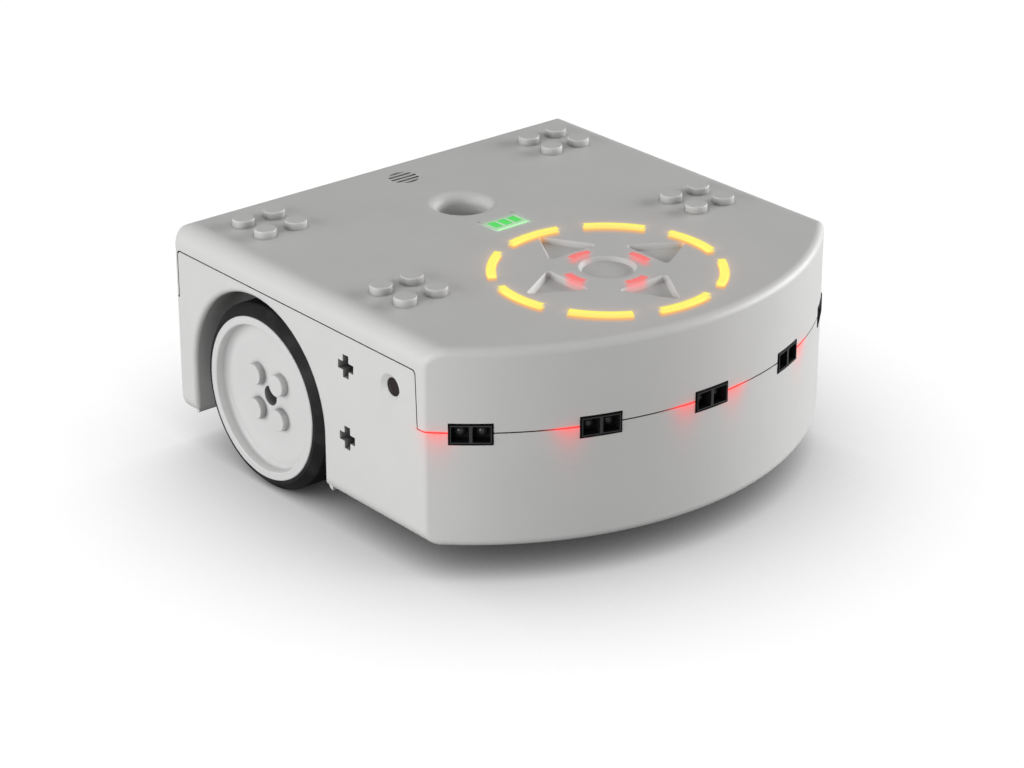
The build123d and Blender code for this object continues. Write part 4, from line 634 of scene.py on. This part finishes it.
def sensor_frames():
    """Grey printed frames round the two cells of every proximity sensor, as one thin piece."""
    places = []
    front_centre = Vector((0.0, FRONT_CENTRE_Y, SENSOR_Z))
    for angle in SENSOR_ANGLES:
        turn = radians(angle)
        spot = front_centre + Vector((sin(turn), -cos(turn), 0.0)) * (FRONT_RADIUS + SENSOR_FACE)
        places.append(Matrix.Translation(spot) @ Matrix.Rotation(turn, 4, "Z"))
    rear_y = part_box("rear_sensor_left")[1].y
    for name in both("rear_sensor"):
        spot = Vector((middle(name).x, rear_y, SENSOR_Z))
        places.append(Matrix.Translation(spot) @ Matrix.Rotation(pi, 4, "Z"))
    columns = [-FRAME_WIDTH / 2]
    for cell in (-1, 1):
        columns += [cell * CELL_PITCH / 2 - CELL_WIDTH / 2, cell * CELL_PITCH / 2 + CELL_WIDTH / 2]
    columns.append(FRAME_WIDTH / 2)
    rows = (-FRAME_HEIGHT / 2, -CELL_HEIGHT / 2, CELL_HEIGHT / 2, FRAME_HEIGHT / 2)
    shape = bmesh.new()
    openings = ((1, 1), (1, 3))
    for place in places:
        grid = [[shape.verts.new(place @ Vector((x, 0.0, z))) for x in columns] for z in rows]
        for row, (low, high) in enumerate(zip(grid, grid[1:])):
            for column in range(len(columns) - 1):
                if (row, column) not in openings:
                    shape.faces.new((low[column], low[column + 1], high[column + 1], high[column]))
    bmesh.ops.recalc_face_normals(shape, faces=shape.faces)
    mesh = bpy.data.meshes.new("sensor_frames")
    shape.to_mesh(mesh)
    shape.free()
    piece = bpy.data.objects.new("sensor_frames", mesh)
    bpy.context.scene.collection.objects.link(piece)
    solid = piece.modifiers.new("thickness", "SOLIDIFY")
    solid.thickness = FRAME_THICKNESS
    solid.offset = 0.0
    mesh.materials.append(simple_plastic("frame_grey", (0.055, 0.057, 0.060), (0.35, 0.45)))
    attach(piece, "chassis")


sensor_frames()


# ================================================================ floor, light and camera
FLOOR_SIZE = 6.0
SHADOW_REACH = 0.35
SHADOW_CURVE = 1.15
SHADOW_LIFT = 1.11
FLOOR_GLOW = 1.03
CAMERA_AZIMUTH = -39.988
CAMERA_ELEVATION = 24.5536
CAMERA_PLACE = Vector((-0.38878, -0.48042, 0.29028))
CAMERA_LENS = 106.76
FLOOR_BOUNCE = 0.25


def make_floor():
    """A wide white floor with a soft, sky-like shadow round the object."""
    half = FLOOR_SIZE / 2
    mesh = bpy.data.meshes.new("floor")
    corners = [(-half, -half, 0.0), (half, -half, 0.0), (half, half, 0.0), (-half, half, 0.0)]
    mesh.from_pydata(corners, [], [(0, 1, 2, 3)])
    floor = bpy.data.objects.new("floor", mesh)
    bpy.context.scene.collection.objects.link(floor)
    material = bpy.data.materials.new("floor")
    material.use_nodes = True
    graph = Graph(material.node_tree)
    output = graph.node("ShaderNodeOutputMaterial")
    shade = graph.node("ShaderNodeAmbientOcclusion", samples=24)
    shade.inputs["Distance"].default_value = SHADOW_REACH
    open_sky = graph.math("POWER", shade.outputs["AO"], SHADOW_CURVE)
    open_sky = graph.math("MULTIPLY", open_sky, SHADOW_LIFT, clamp=True)
    seen = graph.node("ShaderNodeLightPath").outputs["Is Camera Ray"]
    strength = graph.times(open_sky, graph.fade(seen, 0.0, 1.0, FLOOR_BOUNCE, FLOOR_GLOW, "LINEAR"))
    glow = graph.node("ShaderNodeEmission")
    graph.feed(glow.inputs["Strength"], strength)
    graph.tree.links.new(glow.outputs[0], output.inputs["Surface"])
    mesh.materials.append(material)


def make_world():
    """Soft studio surroundings: white to the camera, dim from above."""
    world = bpy.data.worlds.new("studio")
    bpy.context.scene.world = world
    world.use_nodes = True
    graph = Graph(world.node_tree)
    output = graph.node("ShaderNodeOutputWorld")
    seen = graph.node("ShaderNodeLightPath").outputs["Is Camera Ray"]
    sky = graph.node("ShaderNodeBackground")
    graph.feed(sky.inputs["Color"], WHITE)
    graph.feed(sky.inputs["Strength"], graph.fade(seen, 0.0, 1.0, WORLD_LIGHT, 1.0, "LINEAR"))
    graph.tree.links.new(sky.outputs[0], output.inputs["Surface"])


def soft_box(name, azimuth, elevation, distance, width, height, power):
    """A rectangular studio light that faces the object."""
    data = bpy.data.lights.new(name, "AREA")
    data.shape = "RECTANGLE"
    data.size = width
    data.size_y = height
    data.energy = power
    lamp = bpy.data.objects.new(name, data)
    bpy.context.scene.collection.objects.link(lamp)
    turn, rise = radians(azimuth), radians(elevation)
    back = Vector((sin(turn) * cos(rise), -cos(turn) * cos(rise), sin(rise)))
    lamp.location = AIM + back * distance
    lamp.rotation_mode = "QUATERNION"
    lamp.rotation_quaternion = (-back).to_track_quat("-Z", "Y")


WORLD_LIGHT = 0.12
AIM = Vector((0.0, -0.02, 0.03))

# name, azimuth, elevation, distance, width, height, watts
LAMPS = (
    ("left_box", -100.0, 8.0, 0.9, 0.8, 0.5, 5.3),
    ("left_front_box", -65.0, 12.0, 0.9, 0.4, 0.4, 1.4),
    ("front_box", -15.0, 15.0, 0.9, 0.5, 0.5, 0.25),
    ("right_box", 68.0, 8.0, 0.9, 0.7, 0.5, 9.6),
    ("rear_box", 180.0, 25.0, 0.9, 0.8, 0.5, 0.9),
    ("top_box", 0.0, 88.0, 0.9, 0.9, 0.9, 1.15),
)


def make_camera():
    """The camera at the viewing angle of the product picture."""
    data = bpy.data.cameras.new("camera")
    data.lens = CAMERA_LENS
    data.clip_start = 0.01
    data.clip_end = 50.0
    camera = bpy.data.objects.new("camera", data)
    bpy.context.scene.collection.objects.link(camera)
    turn, rise = radians(CAMERA_AZIMUTH), radians(CAMERA_ELEVATION)
    forward = Vector((-sin(turn) * cos(rise), cos(turn) * cos(rise), -sin(rise)))
    camera.location = CAMERA_PLACE
    camera.rotation_mode = "QUATERNION"
    camera.rotation_quaternion = forward.to_track_quat("-Z", "Y")
    bpy.context.scene.camera = camera


make_floor()
make_world()
for lamp in LAMPS:
    soft_box(*lamp)
make_camera()
bpy.context.scene.view_settings.view_transform = "Standard"
